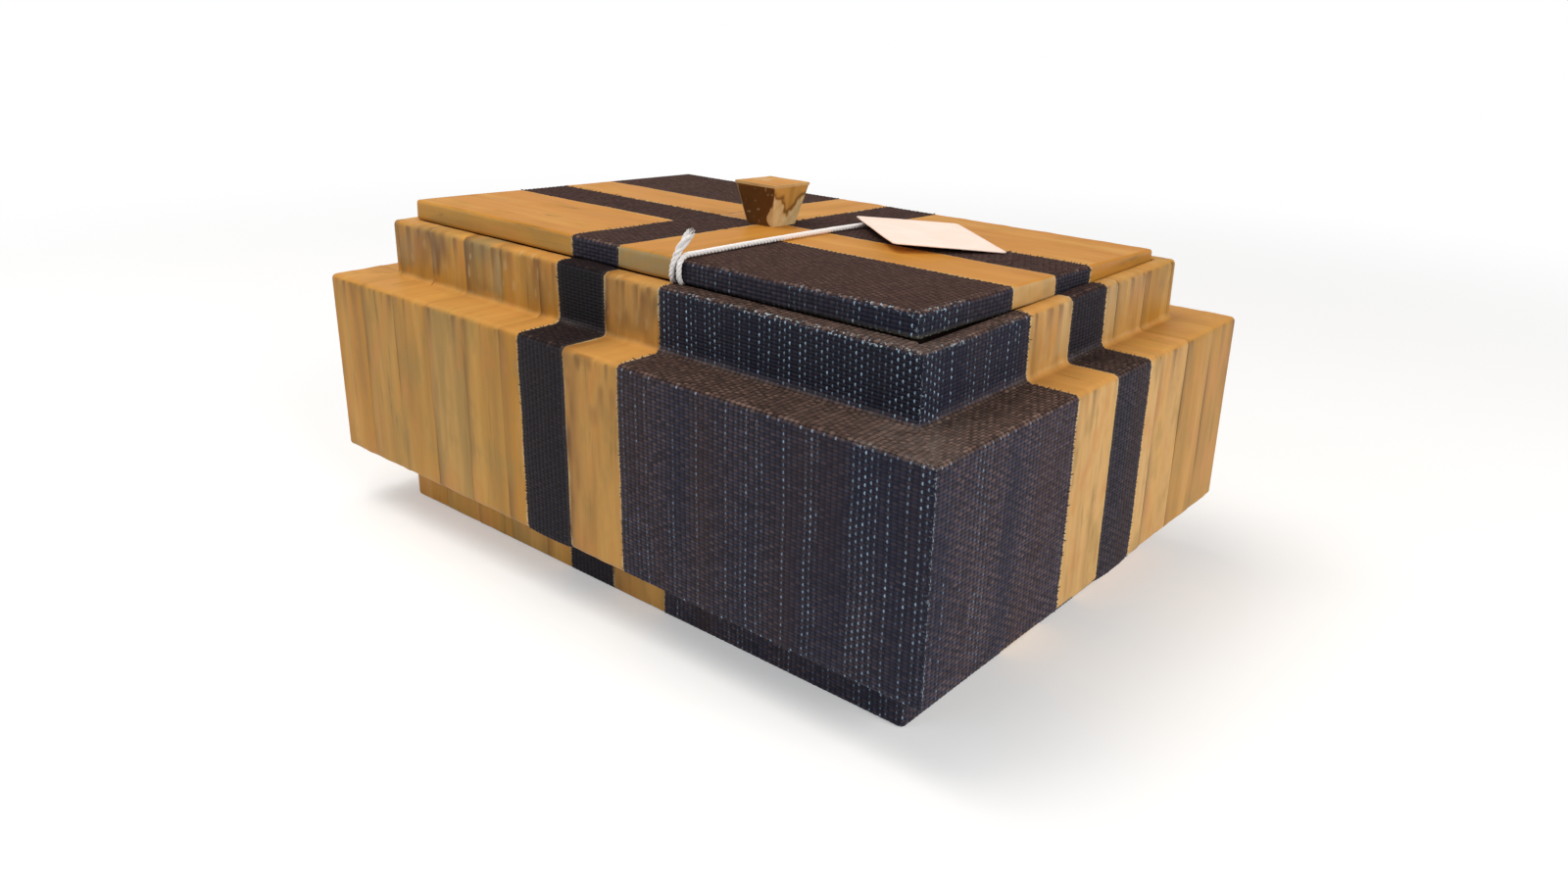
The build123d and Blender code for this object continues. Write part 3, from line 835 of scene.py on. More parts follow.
def stalk_finish():
    """Varnished pressed stalk: soft streaks and a few thin lines along the strip, stains and a pale cut edge.

    The attribute tone gives the pale core, the strip's hue and the upward share of the normal; the attribute
    of stains and shade gives dark seams with a painted shadow beside them, brown varnish, olive patches and
    the ledge's share. Upward faces, and the ledge in its own way, take a lit orange: painted top light.
    """
    stalk = Finish("pressed_stalk")
    ramp, scaled, blend = stalk.ramp, stalk.scaled, stalk.blend
    pattern = stalk.pattern()
    pale, hue, upward, _ = stalk.attribute("tone")
    seam_and_shadow, brown, olive, ledge = stalk.attribute("stain_and_shade")
    fibre = stalk.noise(pattern, (2.6, 0.05, 1.0), 3.0, 0.6)
    streak = stalk.noise(pattern, (0.09, 0.011, 1.0), 2.0, 0.55)
    fine_streak = stalk.noise(pattern, (0.6, 0.014, 1.0))
    smudge = stalk.noise(pattern, (0.22, 0.026, 1.0), 3.0, 0.55)
    line = stalk.noise(pattern, (0.5, 0.008, 1.0), 1.0)
    cloud = stalk.noise(pattern, (0.07, 0.035, 1.0), 3.0, 0.6)
    speck = stalk.noise(pattern, (1.6, 0.35, 1.0))
    level = ramp(upward, 0.2, 0.8)
    plain = scaled(level, -0.65, 1.0)
    thin = ramp(stalk.math("ABSOLUTE", stalk.math("SUBTRACT", line, 0.5)), 0.011, 0.0)
    straw, golden, honey, grey = (212, 168, 104), (184, 128, 42), (186, 138, 60), (166, 131, 70)

    # Upward faces and the ledge take a lit orange (painted top light); seams carry a painted shadow
    base = stalk.layers(
        blend(ramp(hue, -0.5, 0.0), straw, golden),
        (honey, ramp(hue, 0.05, 0.5)),
        (grey, ramp(hue, 0.5, 1.0)),
        (blend(ledge, (201, 136, 58), (206, 148, 78)), level, 0.85),
        ((210, 160, 82), ramp(streak, 0.48, 0.7), 0.55),
        ((150, 104, 44), ramp(streak, 0.5, 0.3), plain, 0.52),
        ((122, 84, 40), ramp(fine_streak, 0.48, 0.3), plain, 0.1),
        ((122, 90, 40), ramp(smudge, 0.56, 0.76), plain, 0.5),
        ((158, 127, 66), ramp(cloud, 0.5, 0.68), plain, 0.5),
        ((196, 132, 58), ramp(cloud, 0.5, 0.32), plain, 0.6),
        ((128, 84, 38), ramp(fibre, 0.6, 0.35), 0.08),
        ((104, 68, 32), thin, ramp(cloud, 0.5, 0.66), 0.5),
        ((112, 74, 36), ramp(speck, 0.7, 0.82), 0.3),
        ((138, 122, 82), olive, 0.75),
        (blend(fibre, (80, 48, 23), (118, 73, 32)), brown),
        # Dark seams, with the painted shadow beside them
        ((88, 61, 30), seam_and_shadow, 0.75),
        (blend(fibre, (196, 170, 120), (226, 206, 164)), pale, 0.8),
    )
    stalk.join("Base Color", base)
    stalk.join("Specular IOR Level", scaled(level, -0.18, 0.2))
    stalk.join("Roughness", scaled(brown, -0.1, scaled(cloud, 0.2, 0.34)))
    stalk.relief(fibre, 0.2, 0.1)
    return stalk.material


def yarn_finish():
    """Loose dark yarn ends."""
    yarn = Finish("loose_yarn", Roughness=0.8, Specular_IOR_Level=0.1)
    tint = yarn.noise(yarn.place(), (900.0, 900.0, 900.0))
    yarn.join("Base Color", yarn.blend(tint, (26, 22, 25), (70, 60, 60)))
    return yarn.material


woven, gold, loose_yarn = cloth_finish(), stalk_finish(), yarn_finish()

# Tubes: yarn ends and string strands
lean_reference = np.array([0.7, -0.6, 0.39])
yarn_end_spacing = 2.1
yarn_end_radius = 0.15
yarn_end_root = 0.8
yarn_end_points, yarn_end_sides = 6, 5
mean_yarn_end, longest_yarn_end = 0.3, 1.7
yarn_end_drift, yarn_end_lift = 0.4, 0.35
yarn_end_height, yarn_end_rise = 0.18, 0.2
yarn_end_fullness = (0.6, 1.1)


def cross_frames(lines):
    """Two directions across each point of lines, from the lines' own direction and one leaning reference."""
    forward = unit(np.gradient(lines, axis=-2))
    first = unit(np.cross(forward, lean_reference))
    return first, np.cross(forward, first)


def tubes(lines, radii, sides):
    """Round tubes along lines: a ring of points about each point, as wide as its radius there."""
    first, second = cross_frames(lines)
    angle = np.linspace(0, 2 * math.pi, sides + 1)
    ring = first[..., None, :] * np.cos(angle)[:, None] + second[..., None, :] * np.sin(angle)[:, None]
    points = lines[..., None, :] + radii[..., None, None] * ring
    count, steps = lines.shape[:2]
    faces = grid_faces(steps, sides + 1)[None] + (np.arange(count) * steps * (sides + 1))[:, None, None]
    pattern = np.stack(np.meshgrid(np.linspace(0, 1, sides + 1), np.arange(steps, dtype=float)), axis=-1)
    sheet = Sheet()
    sheet.add(points, faces.reshape(-1, 4), np.broadcast_to(pattern, (count, *pattern.shape)))
    return sheet


def closed_ends(count, rise):
    """Radius share along a tube, rising from nothing and falling to it in quarter circles at closed ends."""
    step = np.arange(count)
    near_end = np.minimum(step, count - 1 - step) / rise
    return np.sqrt(np.clip(1 - (1 - np.clip(near_end, 0, 1)) ** 2, 0, 1))


def fringe(skin, turn, borders, start, stop):
    """Yarn ends that stick out of the cloth over its borders.

    Each is a short tube from inside the cloth. Its place is drawn at random, its reach falls off
    exponentially, it drifts by the square of its share and rises a little on to the stalks.
    """
    lines = []
    share = np.linspace(0, 1, yarn_end_points)[None, :]
    for border, way in borders:
        count = int((stop - start) / yarn_end_spacing)
        place = start + (stop - start) * (np.arange(count) + draw.uniform(0, 1, count)) / count
        reach = np.minimum(draw.exponential(mean_yarn_end, count), longest_yarn_end)[:, None]
        drift = draw.normal(0, yarn_end_drift, count)[:, None]
        lift = draw.uniform(0, yarn_end_lift, count)[:, None]
        along = border + way * (share * (yarn_end_root + reach) - yarn_end_root)
        length = place[:, None] + drift * share**2
        height = yarn_end_height + yarn_end_rise * share + lift * share**3
        lines.append(place_panel(skin, turn, along, length, height)[0])
    lines = np.concatenate(lines)
    radii = closed_ends(yarn_end_points, 1.5) * draw.uniform(*yarn_end_fullness, len(lines))[:, None]
    return tubes(lines, yarn_end_radius * radii, yarn_end_sides)


def lay_cloth(sheet, name, node, body, yarn_ends):
    """Piece of cloth that stands for its solid, with its yarn ends."""
    leaned = body == "lid"
    piece = make_piece(sheet, name, woven, body, [node], leaned)
    loose = make_piece(yarn_ends, f"{name}_yarn_ends", loose_yarn, body, [], leaned)


# Fields along the long and short sides: covering, the corner that it takes in, and its ends.
# The third and fourth sides are the first two after a half turn.
side_names = ("front", "right", "back", "left")
long_side = (
    (STALK, -1, None, -band_half),
    (CLOTH, 0, -band_half, -band_split),
    (STALK, 0, -band_split, band_half),
    (CLOTH, 1, band_half, None),
)
short_side = (
    (CLOTH, -1, None, -band_half),
    (STALK, 0, -band_half, band_split),
    (CLOTH, 0, band_split, band_half),
    (STALK, 1, band_half, None),
)
corner_places = {
    STALK: ("front_left", "back_right", "back_right", "front_left"),
    CLOTH: ("front_right", "front_right", "back_left", "back_left"),
}

# Looks of the cloth on long and short sides: painted glints away from and at the corner, painted shade
# (more on the long sides) and padding
corner_looks = (dict(shine=(0.05, 0.5), shade=0.25), dict(shine=(-0.15, 0.2), shade=0.0))
band_looks = (dict(shine=(-0.4, -0.4), shade=1.0, pad=0.5), dict(shine=(-0.4, -0.4), shade=0.5, pad=0.6))

# Looks of stalk strips from the corner inwards: hue, and brown, olive and peeled stains on the rim
front_strips = [
    (0.1, 0.6, 0.3, 0.2),
    (0.5, 0.4, 0.6, 0.2),
    (0.35, 0.8, 0.4, 0.1),
    (0.85, 0.5, 0.9, 0.8),
    (0.4, 0.9, 0.3, 0.3),
    (0.15, 0.7, 0.2, 0.1),
]
right_strips = [(0.3, 0.2, 0.1, 0.0), (0.25, 0.2, 0.1, 0.0), (-0.3, 0.1, 0.2, 0.1), (-0.45, 0.1, 0.3, 0.2)]
drawn_strips = (-0.3, 0.0, 0.0, 0.0), (0.9, 0.7, 0.6, 0.3)

# Side after side: hue of the strip at the corner, hue of the band, and the band's brown stain
corner_hues, band_hues, band_stains = (0.12, 0.3, 0.3, 0.12), (-0.2, -0.4, 0.5, 0.2), (1.3, 0.0, 0.4, 0.7)


def strip_look(turn, index, shared):
    """Hue and rim stains of one strip: listed for two sides, drawn for the others, shared round a corner."""
    drawn = [draw.uniform(*drawn_strips)]
    listed = (front_strips, right_strips, drawn, drawn)[turn]
    hue, brown, olive, peel = listed[index % len(listed)]
    return dict(hue=shared if index == 0 else hue, brown=brown, olive=olive, peel=peel)


def strip_borders(low, high, corner):
    """Borders of stalk strips laid from the box's corner inwards, with no sliver left at the band."""
    outer, inner = (high, low) if corner > 0 else (low, high)
    count = int(abs(outer - inner) / stalk_width - sliver_share)
    return [outer, *[outer - corner * stalk_width * (index + 1) for index in range(count)], inner]


def side_piece(skins, turn, field, prefix):
    """One field of the pattern on one side of a skin, as a piece that stands for its solid."""
    kind, corner, low, high = field
    skin, side = skins[kind], side_names[turn]
    low = -skin.reach(turn) if low is None else low
    high = skin.reach(turn) if high is None else high
    solid = f"{corner_places[kind][turn]}_{kind}_corner" if corner else f"{side}_{kind}_band"
    name = prefix + (f"{side}_face_of_{solid}" if corner else f"{solid}_cover")
    node = prefix + solid
    seed = next_seed()
    sheet = Sheet()
    if kind == CLOTH:
        look = (corner_looks if corner else band_looks)[turn % 2]
        flat = cloth_panel(sheet, skin, turn, low, high, seed, corner, **look)
        borders = [(low, -1)] * (corner >= 0) + [(high, 1)] * (corner <= 0)
        stop = skin.length[-1] - (rim_top - turn_in_low) * skin.mitred
        lay_cloth(sheet, name, node, "box", fringe(skin, turn, borders, cover, stop - cover))
        return
    borders = strip_borders(low, high, corner) if corner else [low, high]
    for index, ends in enumerate(zip(borders, borders[1:])):
        at_band = index == len(borders) - 2
        look = strip_look(turn, index, (corner_hues if corner else band_hues)[turn])
        look.update(
            corner=0 if index else corner,
            cut_low=at_band and corner >= 0,
            cut_high=at_band and corner <= 0,
            edge_brown=0.0 if corner else band_stains[turn],
        )
        stalk_panel(sheet, skin, turn, min(ends), max(ends), seed + 3 * index, **look)
    make_piece(sheet, name, gold, "box", [node])


for skins, prefix in ((body_skins, ""), (plinth_skins, "plinth_")):
    for turn in range(4):
        for field in long_side if turn % 2 == 0 else short_side:
            side_piece(front_skins if skins is body_skins and turn == 0 else skins, turn, field, prefix)


# Limits of the hues that are drawn for the lid's strips
lid_hues = (0.1, 0.5)


def lid_end(kind, inset):
    """Length up the lid's section at which its skin has come in that far."""
    return lid_skins[kind].length_at_inset(inset)


def lid_stalk(name, node, turn, *panels):
    """One stalk field of the lid's pattern on one side: its strips joined into a piece."""
    sheet = Sheet()
    for options in panels:
        hue = draw.uniform(*lid_hues)
        stalk_panel(sheet, lid_skins[STALK], turn, seed=next_seed(), hue=hue, **options)
    make_piece(sheet, f"lid_{name}", gold, "lid", [f"lid_{node}"], leaned=True)


def lid_cloth(name, node, borders, *panels):
    """One cloth field of the lid's pattern: its panels joined into a piece, with yarn ends on its borders."""
    skin = lid_skins[CLOTH]
    sheet = Sheet()
    for turn, options in panels:
        cloth_panel(sheet, skin, turn, seed=next_seed(), **options)
    turn, options = panels[0]
    yarn_ends = fringe(skin, turn, borders, tuck_under, options["end"])
    lay_cloth(sheet, f"lid_{name}", f"lid_{node}", "lid", yarn_ends)


def lay_lid_half(turn):
    """The fields of the lid along one long side and the short side to its right."""
    ahead, hand, behind, other = side_names[turn:] + side_names[:turn]
    edge_look = dict(shine=(0.25, 0.7), foot_pale=0.3)
    arm_look = dict(shine=(-0.1, -0.1), shade=0.12)
    both_cut = dict(cut_low=True, cut_high=True)

    strip_end = lid_end(STALK, stalk_width)
    quarter_end = lid_end(STALK, lid_half_width - band_half)
    panel_reach = lid_skins[STALK].reach(turn)
    panel = dict(low=-panel_reach, high=-band_half, corner=-1, cut_high=True, lengthwise=False)
    inner = dict(panel, start=strip_end + 2 * stalk_seam, end=quarter_end, cut_end=True)
    lid_stalk(f"{ahead}_stalk_panel", f"{ahead}_{other}_stalk_panel", turn, dict(panel, end=strip_end), inner)

    middle_end = lid_end(CLOTH, lid_half_width - band_split)
    arm = dict(arm_look, low=-band_half, high=-band_split, end=middle_end, end_tucked=True)
    borders = [(-band_half, -1), (-band_split, 1)]
    lid_cloth(f"{ahead}_cloth_arm", f"{ahead}_{other}_cloth_angle", borders, (turn, arm))

    ends = [lid_end(STALK, lid_half_width - band_split), lid_end(STALK, lid_half_width + band_split)]
    slanted = dict(both_cut, end=([0.0, band_split], ends), cut_end=True, face_olive=1.2, face_pale=0.15)
    arm = dict(slanted, low=-band_split, high=band_half)
    lid_stalk(f"{ahead}_stalk_arm", f"{ahead}_{hand}_stalk_angle", turn, arm)

    reach, side_reach = lid_skins[CLOTH].reach(turn), lid_skins[CLOTH].reach(turn + 1)
    quarter_end = lid_end(CLOTH, lid_half_width - band_half)
    edge_end = lid_end(CLOTH, lid_edge_rounds[CLOTH])
    top = dict(edge_look, low=band_half, high=reach, corner=1, end=quarter_end, end_tucked=True)
    edge = dict(edge_look, low=-side_reach, high=-band_half, corner=-1, end=edge_end, end_joined=True)
    borders = [(band_half, -1)]
    lid_cloth(f"{ahead}_cloth_panel", f"{ahead}_{hand}_cloth_panel", borders, (turn, top), (turn + 1, edge))

    arm_end = lid_end(STALK, lid_half_length - band_half)
    arm = dict(both_cut, low=-band_half, high=band_split, end=arm_end, face_pale=0.6)
    lid_stalk(f"{hand}_stalk_arm", f"{ahead}_{hand}_stalk_angle", turn + 1, arm)

    arm_end = lid_end(CLOTH, lid_half_length - band_half)
    arm = dict(arm_look, low=band_split, high=band_half, end=arm_end)
    borders = [(band_split, -1), (band_half, 1)]
    lid_cloth(f"{hand}_cloth_arm", f"{behind}_{hand}_cloth_angle", borders, (turn + 1, arm))

    edge_end = lid_end(STALK, lid_edge_rounds[STALK])
    edge = dict(low=band_half, high=lid_skins[STALK].reach(turn + 1), end=edge_end)
    edge.update(corner=1, cut_low=True, lengthwise=False)
    lid_stalk(f"{hand}_stalk_edge", f"{behind}_{hand}_stalk_panel", turn + 1, edge)


for half in (0, 2):
    lay_lid_half(half)

# Knob: four flared faces and a top
knob_foot_half, knob_top_half, knob_height, knob_veneer = 6.7, 10.2, 16.8, 0.8
knob_floor, knob_roof = lid_top, lid_top + knob_height
knob_soft, knob_uneven = 0.35, 0.14
knob_hue, knob_top_hue = -0.2, 0.4
knob_steps = 41


def front_look(u, w):
    """Pale and brown shares of the front: brown, with a pale left edge, specks and a worn bulge at the right.

    The bulge starts at the right edge and is deepest about a quarter of the way up.
    """
    specks = smooth_step(lattice_noise(u * 9 + 3, w * 10, 17), 0.7, 0.85) * 0.45
    ragged = 0.1 * lattice_noise(u * 4, w * 6, 19) + 0.05 * lattice_noise(u * 11, w * 13, 20)
    bulge = smooth_step(u - 1 + 0.55 * bell(w - 0.22, 0.24) + ragged, 0.0, 0.1)
    worn = bulge * (0.8 + 0.3 * lattice_noise(u * 5, w * 6, 21))
    brown = (1.15 + 0.15 * lattice_noise(u * 2, w * 2, 18) - 0.35 * smooth_step(w, 0.86, 1.0)) * (1 - bulge)
    return np.maximum(np.maximum(smooth_step(-u, 0.9, 0.99) * 0.7, specks), worn), brown


def right_look(u, w):
    """Pale and brown shares of the right side: gold above, a ragged brown V, and worn pale below it."""
    ragged = 0.14 * lattice_noise(u * 2.5, w * 3.5, 23) + 0.09 * lattice_noise(u * 7, w * 8, 24)
    drop = 0.3 + 0.5 * np.abs(u) + ragged - w
    mottled = 0.85 + 0.3 * lattice_noise(u * 5, w * 6, 29) + 0.15 * lattice_noise(u * 13, w * 14, 30)
    return smooth_step(drop, -0.02, 0.12) * mottled, 0.8 * bell(drop + 0.06, 0.11)


def worn_look(u, w):
    """Pale and brown shares of the back: a few small chipped spots, brown towards one edge."""
    chips_and_sparkle = smooth_step(lattice_noise(u * 6, w * 7, 31), 0.68, 0.85) * 0.5
    return chips_and_sparkle, smooth_step(u + 0.4 * lattice_noise(u * 2, w * 2, 32), 0.1, 0.9) * 0.7


def knob_face(turn, seed, look):
    """One flared face: half width grows evenly with height, and its upright edges are drawn in.

    The drawing in is half the softness times the 12th power of the share of the half width, so that two
    neighbouring faces meet on one line. Slow noise makes the face uneven.
    """
    u, w = np.meshgrid(np.linspace(-1, 1, knob_steps), np.linspace(0, 1, knob_steps))
    half = knob_foot_half + (knob_top_half - knob_foot_half) * w
    drawn = knob_soft / 2 * np.abs(u) ** 12
    uneven = knob_uneven * lattice_noise(u * 2.2 + 5, w * 2.6, seed) * (1 - u**6)
    x, y = quarter_turned(u * (half - drawn), -(half - drawn + uneven), turn)
    z = knob_floor + (knob_roof - knob_veneer - knob_floor) * w
    pale, brown = look(u, w)
    stain_and_shade = (np.clip(brown - 0.7, 0, 1), brown, 0, 0)
    return grid_sheet((x, y, z), (u * half + 30 * turn, z), (pale, knob_hue, 0, 0), stain_and_shade)


def knob_top():
    """Flat top whose edges fall by the 10th power of the distance from the middle, above its cut edge."""
    steps = np.linspace(0, 1, knob_steps)
    t, s, down = skirted_grid(steps, steps, True, True)
    u, v = 2 * t - 1, 2 * s - 1
    rim = np.maximum(np.abs(u), np.abs(v))
    z = knob_roof - 0.25 * rim**10 + 0.05 * lattice_noise(u * 3, v * 3, 9)
    z = np.where(down, knob_roof - 1.6 * knob_veneer, z)
    x, y = u * knob_top_half, v * knob_top_half
    # Pale spot on the top: painted highlight
    highlight_patch = smooth_step(0.55 - np.hypot(u + 0.35, v + 0.1) + 0.25 * lattice_noise(u * 3, v * 3, 12), 0, 0.3)
    pale = np.maximum(rim**40 * 0.6, 0.45 * highlight_patch)
    return grid_sheet((x, y, z), (y + 11, x), (pale, knob_top_hue, 1, 0))


for turn, look in enumerate((front_look, right_look, worn_look, front_look)):
    face = knob_face(turn, 50 + turn, look)
    name = f"knob_{side_names[turn]}_veneer"
    make_piece(face, name, gold, "lid", ["knob_side_veneers"], leaned=True)
make_piece(knob_top(), "knob_cap_veneer", gold, "lid", ["knob_top_veneer"], leaned=True)

# Card tag, in the place and tilt of its solid
tag_length, tag_width, tag_thickness = 60.0, 42.0, 0.5
tag_place = np.array([57.7, 23.6])
tag_heading, tag_tilt, tag_lift = math.radians(-39.8), math.radians(3.5), 1.7
tag_curl = 0.7
tag_corner = 0.6
tag_steps_long, tag_steps_wide = 61, 43


def tag_sheet():
    """Card tilted about its long axis, its far corners curled up a little.

    The curl is its height times the square of the share from the middle to the far end, more on one side,
    plus slow noise. The four corners are drawn in over their last stretch.
    """
    u, v = np.meshgrid(np.linspace(-1, 1, tag_steps_long), np.linspace(-1, 1, tag_steps_wide))
    soft = tag_corner * np.clip(np.abs(u) - 0.97, 0, 1) / 0.03 * np.clip(np.abs(v) - 0.96, 0, 1) / 0.04
    along = u * tag_length / 2 - np.sign(u) * soft
    across = v * tag_width / 2 - np.sign(v) * soft
    curl = tag_curl * np.clip(u, 0, 1) ** 2 * (0.4 - 0.3 * v) + 0.1 * lattice_noise(u * 1.5, v * 1.2, 3)
    level_across = across * math.cos(tag_tilt)
    x = tag_place[0] + along * math.cos(tag_heading) - level_across * math.sin(tag_heading)
    y = tag_place[1] + along * math.sin(tag_heading) + level_across * math.cos(tag_heading)
    z = lid_top + tag_lift + tag_thickness - across * math.sin(tag_tilt) + curl
    return grid_sheet((x, y, z), (along, across))


def card_finish():
    """Uncoated card: faint fibres and a slow unevenness of tint."""
    card = Finish("tag_card", Roughness=0.72, Specular_IOR_Level=0.2)
    pattern = card.pattern()
    fibre = card.noise(pattern, (1.7, 0.5, 1.0), 4.0, 0.6)
    cloud = card.noise(pattern, (0.05, 0.06, 1.0))
    base = card.blend(card.ramp(cloud, 0.35, 0.7), (254, 227, 212), (255, 234, 221))
    base = card.layers(base, ((230, 200, 184), card.ramp(fibre, 0.6, 0.75), 0.25))
    card.join("Base Color", base)
    card.relief(fibre, 0.15, 0.1)
    return card.material


tag = make_piece(tag_sheet(), "blank_tag", card_finish(), "lid", ["tag_card"], leaned=True)
thickness = tag.modifiers.new("card", "SOLIDIFY")
thickness.thickness, thickness.offset = tag_thickness * MM, -1.0

# String: its route's points, with one more on the long straight run near the lid's edge
string_points = [
    (32.0, -75.6, 138.8),
    (27.6, -78.6, 131.6),
    (25.4, -78.4, 122.35),
    (25.4, -74.6, 122.35),
    (29.0, -74.6, 122.35),
    (29.0, -78.4, 122.35),
    (29.8, -78.4, 131.4),
    (29.4, -69.4, 131.1),
    (28.0, -36.0, 130.0),
    (27.6, 12.0, 128.4),
    (29.2, 23.0, 128.1),
]
string_spacing = 0.22
strand_count, strand_radius, strand_offset, twist_pitch, strand_sides = 3, 0.52, 0.46, 5.2, 10
tail_length, tail_untwist, tail_spread, tail_swell = 13.0, 0.8, 0.9, 0.45
tail_tip = 2.0
fray_count, fray_points, fray_sides, fray_radius, fray_offset = 60, 14, 5, 0.15, 0.85

# Steps along the line: where fibres leave it, and from which its way at the tip is taken
fray_root, tip_back = 12, 8

# Limits of the drawn fibres: turn about the tail, reach, spread and drift
fray_limits = ((0, 2 * math.pi), (2.0, 4.6), (0.1, 0.9), (-0.5, 0.5))


def route_line(points, spacing):
    """Points along the smooth line of a route, evenly spaced, in millimetres."""
    curve = bpy.data.curves.new("route", "CURVE")
    curve.dimensions = "3D"
    curve.resolution_u = 24
    spline = curve.splines.new("NURBS")
    spline.points.add(len(points) - 1)
    spline.points.foreach_set("co", np.array([(*point, 1 / MM) for point in points]).ravel() * MM)
    spline.order_u = 3
    spline.use_endpoint_u = True
    holder = bpy.data.objects.new("route", curve)
    mesh = bpy.data.meshes.new_from_object(holder)
    line = np.empty(len(mesh.vertices) * 3)
    mesh.vertices.foreach_get("co", line)
    line = line.reshape(-1, 3) / MM
    bpy.data.meshes.remove(mesh)
    bpy.data.objects.remove(holder)
    bpy.data.curves.remove(curve)
    whole = line_lengths(line)[-1]
    even = np.linspace(0, whole, int(whole / spacing))
    return points_at(line, even), even


def cotton_finish():
    """Soft white cotton with fine fibres along the yarn."""
    cotton = Finish("white_cotton", Roughness=0.85, Specular_IOR_Level=0.15)
    fibre = cotton.noise(cotton.pattern(), (14.0, 0.35, 1.0), 3.0, 0.6)
    cotton.join("Base Color", cotton.blend(cotton.ramp(fibre, 0.3, 0.7), (236, 230, 227), (254, 252, 251)))
    cotton.relief(fibre, 0.4, 0.1)
    return cotton.material


def make_string():
    """Three strands wound about the route: each is offset by a vector that turns once per pitch.

    On the free tail the twist has come undone: the strands turn slowly, lie wider apart and are fuller.
    Fibres leave the tail near its end, go on its way and spread by a power of their share.
    """
    line, length = route_line(string_points, string_spacing)
    first, second = cross_frames(line)
    tail = smooth_step(-length, -tail_length, -tail_tip)
    turns = np.cumsum((1 - tail_untwist * tail) * np.gradient(length)) / twist_pitch
    phase = 2 * math.pi * (turns[None, :] + np.arange(strand_count)[:, None] / strand_count)
    offset = (strand_offset * (1 + tail_spread * tail))[None, :, None]
    strands = line + offset * (np.cos(phase)[..., None] * first + np.sin(phase)[..., None] * second)
    uneven = 1 + 0.1 * lattice_noise(length[None, :] / 3, np.arange(strand_count)[:, None] * 7.3, 61)
    radii = strand_radius * (1 + tail_swell * tail) * uneven * closed_ends(len(line), 5)
    cotton = cotton_finish()
    wound = tubes(strands, radii, strand_sides)
    string = make_piece(wound, "tag_string_strands", cotton, "lid", ["tag_string"])

    share = np.linspace(0, 1, fray_points)[None, :]
    spin, reach, spread, drift = [draw.uniform(*limit, fray_count)[:, None] for limit in fray_limits]
    sideways = fray_offset + spread * share**1.6
    turned = spin + drift * share * 2
    fibres = line[fray_root] + (reach * share)[..., None] * unit(line[0] - line[tip_back])
    fibres = fibres + (sideways * np.cos(turned))[..., None] * first[fray_root]
    fibres = fibres + (sideways * np.sin(turned))[..., None] * second[fray_root]
    thin = fray_radius * closed_ends(fray_points, 2)[None, :] * (1 - 0.45 * share) * np.ones_like(spin)
    fray = make_piece(tubes(fibres, thin, fray_sides), "tag_string_fray", cotton, "lid", [])


make_string()


# Boards, linings and the screw keep their solids and get their finishes by Object coordinates


def board_finish(name, pale, brown, along):
    """Plain sawn board: growth lines stretched along one axis, and fine pores."""
    board = Finish(name, Roughness=0.7, Specular_IOR_Level=0.25)
    place = board.place()
    stretch = np.full(3, 160.0)
    stretch[along] = 7.0
    growth = board.noise(place, tuple(stretch), 4.0, 0.55)
    pores = board.noise(place, tuple(stretch * 8))
    base = board.blend(board.ramp(growth, 0.35, 0.68), pale, brown)
    board.join("Base Color", board.layers(base, (brown, board.ramp(pores, 0.58, 0.72), 0.4)))
    board.relief(pores, 0.3, 0.2)
    return board.material


def paper_finish(name, pale, dark):
    """Pressed paper: short fibres in two tones and a slow cloudiness."""
    paper = Finish(name, Roughness=0.88, Specular_IOR_Level=0.15)
    place = paper.place()
    fibre = paper.noise(place, (900.0, 900.0, 900.0), 4.0, 0.7)
    cloud = paper.noise(place, (28.0, 28.0, 28.0), 3.0)
    base = paper.blend(paper.ramp(fibre, 0.4, 0.66), dark, pale)
    paper.join("Base Color", paper.layers(base, (dark, paper.ramp(cloud, 0.4, 0.7), 0.25)))
    paper.relief(fibre, 0.25, 0.2)
    return paper.material


def steel_finish():
    """Turned steel: fine rings of roughness about the screw's axis."""
    steel = Finish("screw_steel", Metallic=1.0, Base_Color=(0.56, 0.55, 0.53, 1.0))
    scratch = steel.noise(steel.place(), (900.0, 900.0, 4000.0))
    steel.join("Roughness", steel.scaled(scratch, 0.3, 0.25))
    return steel.material


# Walls, battens and linings are dark so the gap under the lid reads black: painted shade
pine_tones, shade_dark_tones = ((206, 172, 122), (170, 128, 80)), ((58, 42, 33), (38, 27, 22))
pine = [board_finish(f"sawn_board_{axis}", *pine_tones, index) for index, axis in enumerate("xyz")]
dark_board = [board_finish(f"shade_dark_board_{axis}", *shade_dark_tones, index) for index, axis in enumerate("xy")]
dark_paper = paper_finish("lining_paper", (62, 46, 38), (44, 32, 27))
node_finishes = {
    "floor_panel": pine[0],
    "lid_board": pine[0],
    "knob_core": pine[2],
    "floor_lining": dark_paper,
    # Dark card under the lid for its shadow gap: painted shade
    "lid_sheet": paper_finish("lid_sheet_card", (66, 52, 44), (44, 34, 29)),
    "knob_screw": steel_finish(),
}
for turn, side in enumerate(side_names):
    node_finishes[f"{side}_wall"] = dark_board[turn % 2]
    node_finishes[f"{side}_batten"] = dark_board[turn % 2]
    node_finishes[f"{side}_belt_board"] = pine[turn % 2]
    node_finishes[f"{side}_wall_lining"] = dark_paper
for node, finish in node_finishes.items():
    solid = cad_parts[node]
    solid.data.materials.clear()
    solid.data.materials.append(finish)

# Camera at the photograph's viewing angle, from a fit of the box's edges in the 1600 x 900 frame
image_width, image_height = 1600.0, 900.0
focal_pixels = 1197.49
centre_pixel = (831.24, 412.08)
eye = np.array([0.30200, -0.34135, 0.21615])
camera_right = np.array([0.76995, 0.63760, 0.02528])
camera_up = np.array([-0.23335, 0.24447, 0.94116])
camera_back = np.array([0.59391, -0.73055, 0.33701])

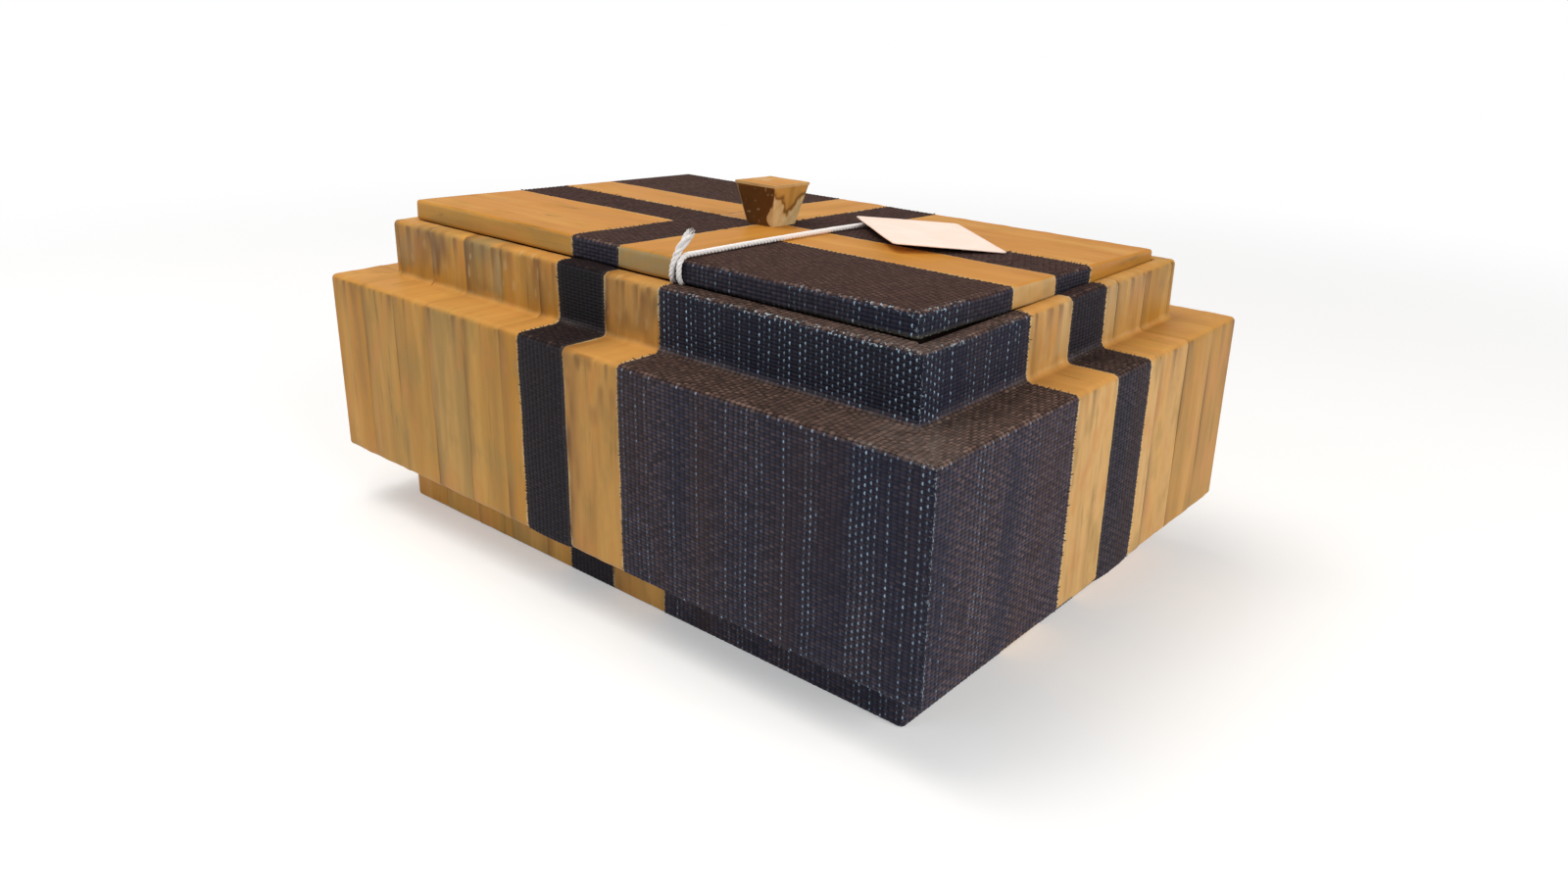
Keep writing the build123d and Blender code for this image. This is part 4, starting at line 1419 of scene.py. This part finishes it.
# Surroundings, in metres. Of each lamp: name, place, aim, size, power and tint
white = (1.0, 1.0, 1.0, 1.0)
sky_tint, sky_strength = (0.93, 0.96, 1.0, 1.0), 0.28
floor_reach, floor_fade = 6.0, (0.3, 1.0)
floor_tone, floor_glow = (0.78, 0.78, 0.78, 1.0), 0.3
lamps = (
    ("top_key", (-0.35, -0.25, 1.25), (0.0, 0.0, 0.08), 0.9, 10.5, (1.0, 0.95, 0.88)),
    ("front_fill", (-0.55, -1.15, 0.55), (0.0, 0.0, 0.06), 0.9, 4.2, (0.9, 0.95, 1.0)),
    ("right_fill", (1.25, -0.15, 0.6), (0.0, 0.0, 0.06), 0.8, 10.5, (1.0, 0.97, 0.93)),
)


def stand(name, data, right, up, back, place):
    """Object in the scene, turned so that its own axes point right, up and back."""
    thing = bpy.data.objects.new(name, data)
    bpy.context.scene.collection.objects.link(thing)
    matrix = np.eye(4)
    matrix[:3] = np.stack([right, up, back, place], axis=1)
    thing.matrix_world = Matrix(matrix.tolist())
    return thing


def make_camera():
    """Camera with the fitted place, turn, focal length and shift."""
    data = bpy.data.cameras.new("camera")
    data.sensor_width = 36.0
    data.lens = data.sensor_width * focal_pixels / image_width
    data.shift_x = (image_width / 2 - centre_pixel[0]) / image_width
    data.shift_y = (centre_pixel[1] - image_height / 2) / image_width
    bpy.context.scene.camera = stand("camera", data, camera_right, camera_up, camera_back, eye)


def area_light(name, place, aim, size, power, tint):
    """Square soft light at a place, turned to its aim."""
    data = bpy.data.lights.new(name, "AREA")
    data.size, data.energy, data.color = size, power, tint
    back = unit(np.array(place) - np.array(aim))
    right = unit(np.cross([0.0, 0.0, 1.0], back))
    stand(name, data, right, np.cross(back, right), back, place)


def make_world():
    """Even pale light, and plain white where the camera, a gloss or a clear surface sees it."""
    world = bpy.data.worlds.new("studio")
    world.use_nodes = True
    bpy.context.scene.world = world
    world.node_tree.nodes.clear()
    nodes = Nodes(world.node_tree)
    fill = nodes.add("ShaderNodeBackground", {0: sky_tint, 1: sky_strength})
    plain = nodes.add("ShaderNodeBackground", {0: white, 1: 1.0})
    mix = nodes.add("ShaderNodeMixShader", {0: nodes.seen(), 1: fill.outputs[0], 2: plain.outputs[0]})
    nodes.add("ShaderNodeOutputWorld", {0: mix.outputs[0]})


def make_floor():
    """Large pale floor that keeps the shadow; where the camera sees it lit, it is white."""
    mesh = bpy.data.meshes.new("floor")
    ends = (-floor_reach, floor_reach)
    corners = [(x, y, 0) for y in ends for x in ends]
    mesh.from_pydata(corners, [], [(0, 1, 3, 2)])
    floor = bpy.data.objects.new("floor", mesh)
    bpy.context.scene.collection.objects.link(floor)
    finish = Finish("pale_floor", Roughness=0.9, Specular_IOR_Level=0.0, Emission_Color=white)
    distance = finish.add("ShaderNodeVectorMath", {0: finish.place()}, operation="LENGTH").outputs["Value"]
    away = finish.ramp(distance, *floor_fade)
    finish.join("Base Color", finish.blend(away, floor_tone, (0.0, 0.0, 0.0, 1.0)))
    glow = finish.scaled(away, 1 - floor_glow, floor_glow)
    finish.join("Emission Strength", finish.times(finish.seen(), glow))
    mesh.materials.append(finish.material)


make_camera()
make_world()
make_floor()
for lamp in lamps:
    area_light(*lamp)
bpy.context.scene.view_settings.view_transform = "Standard"
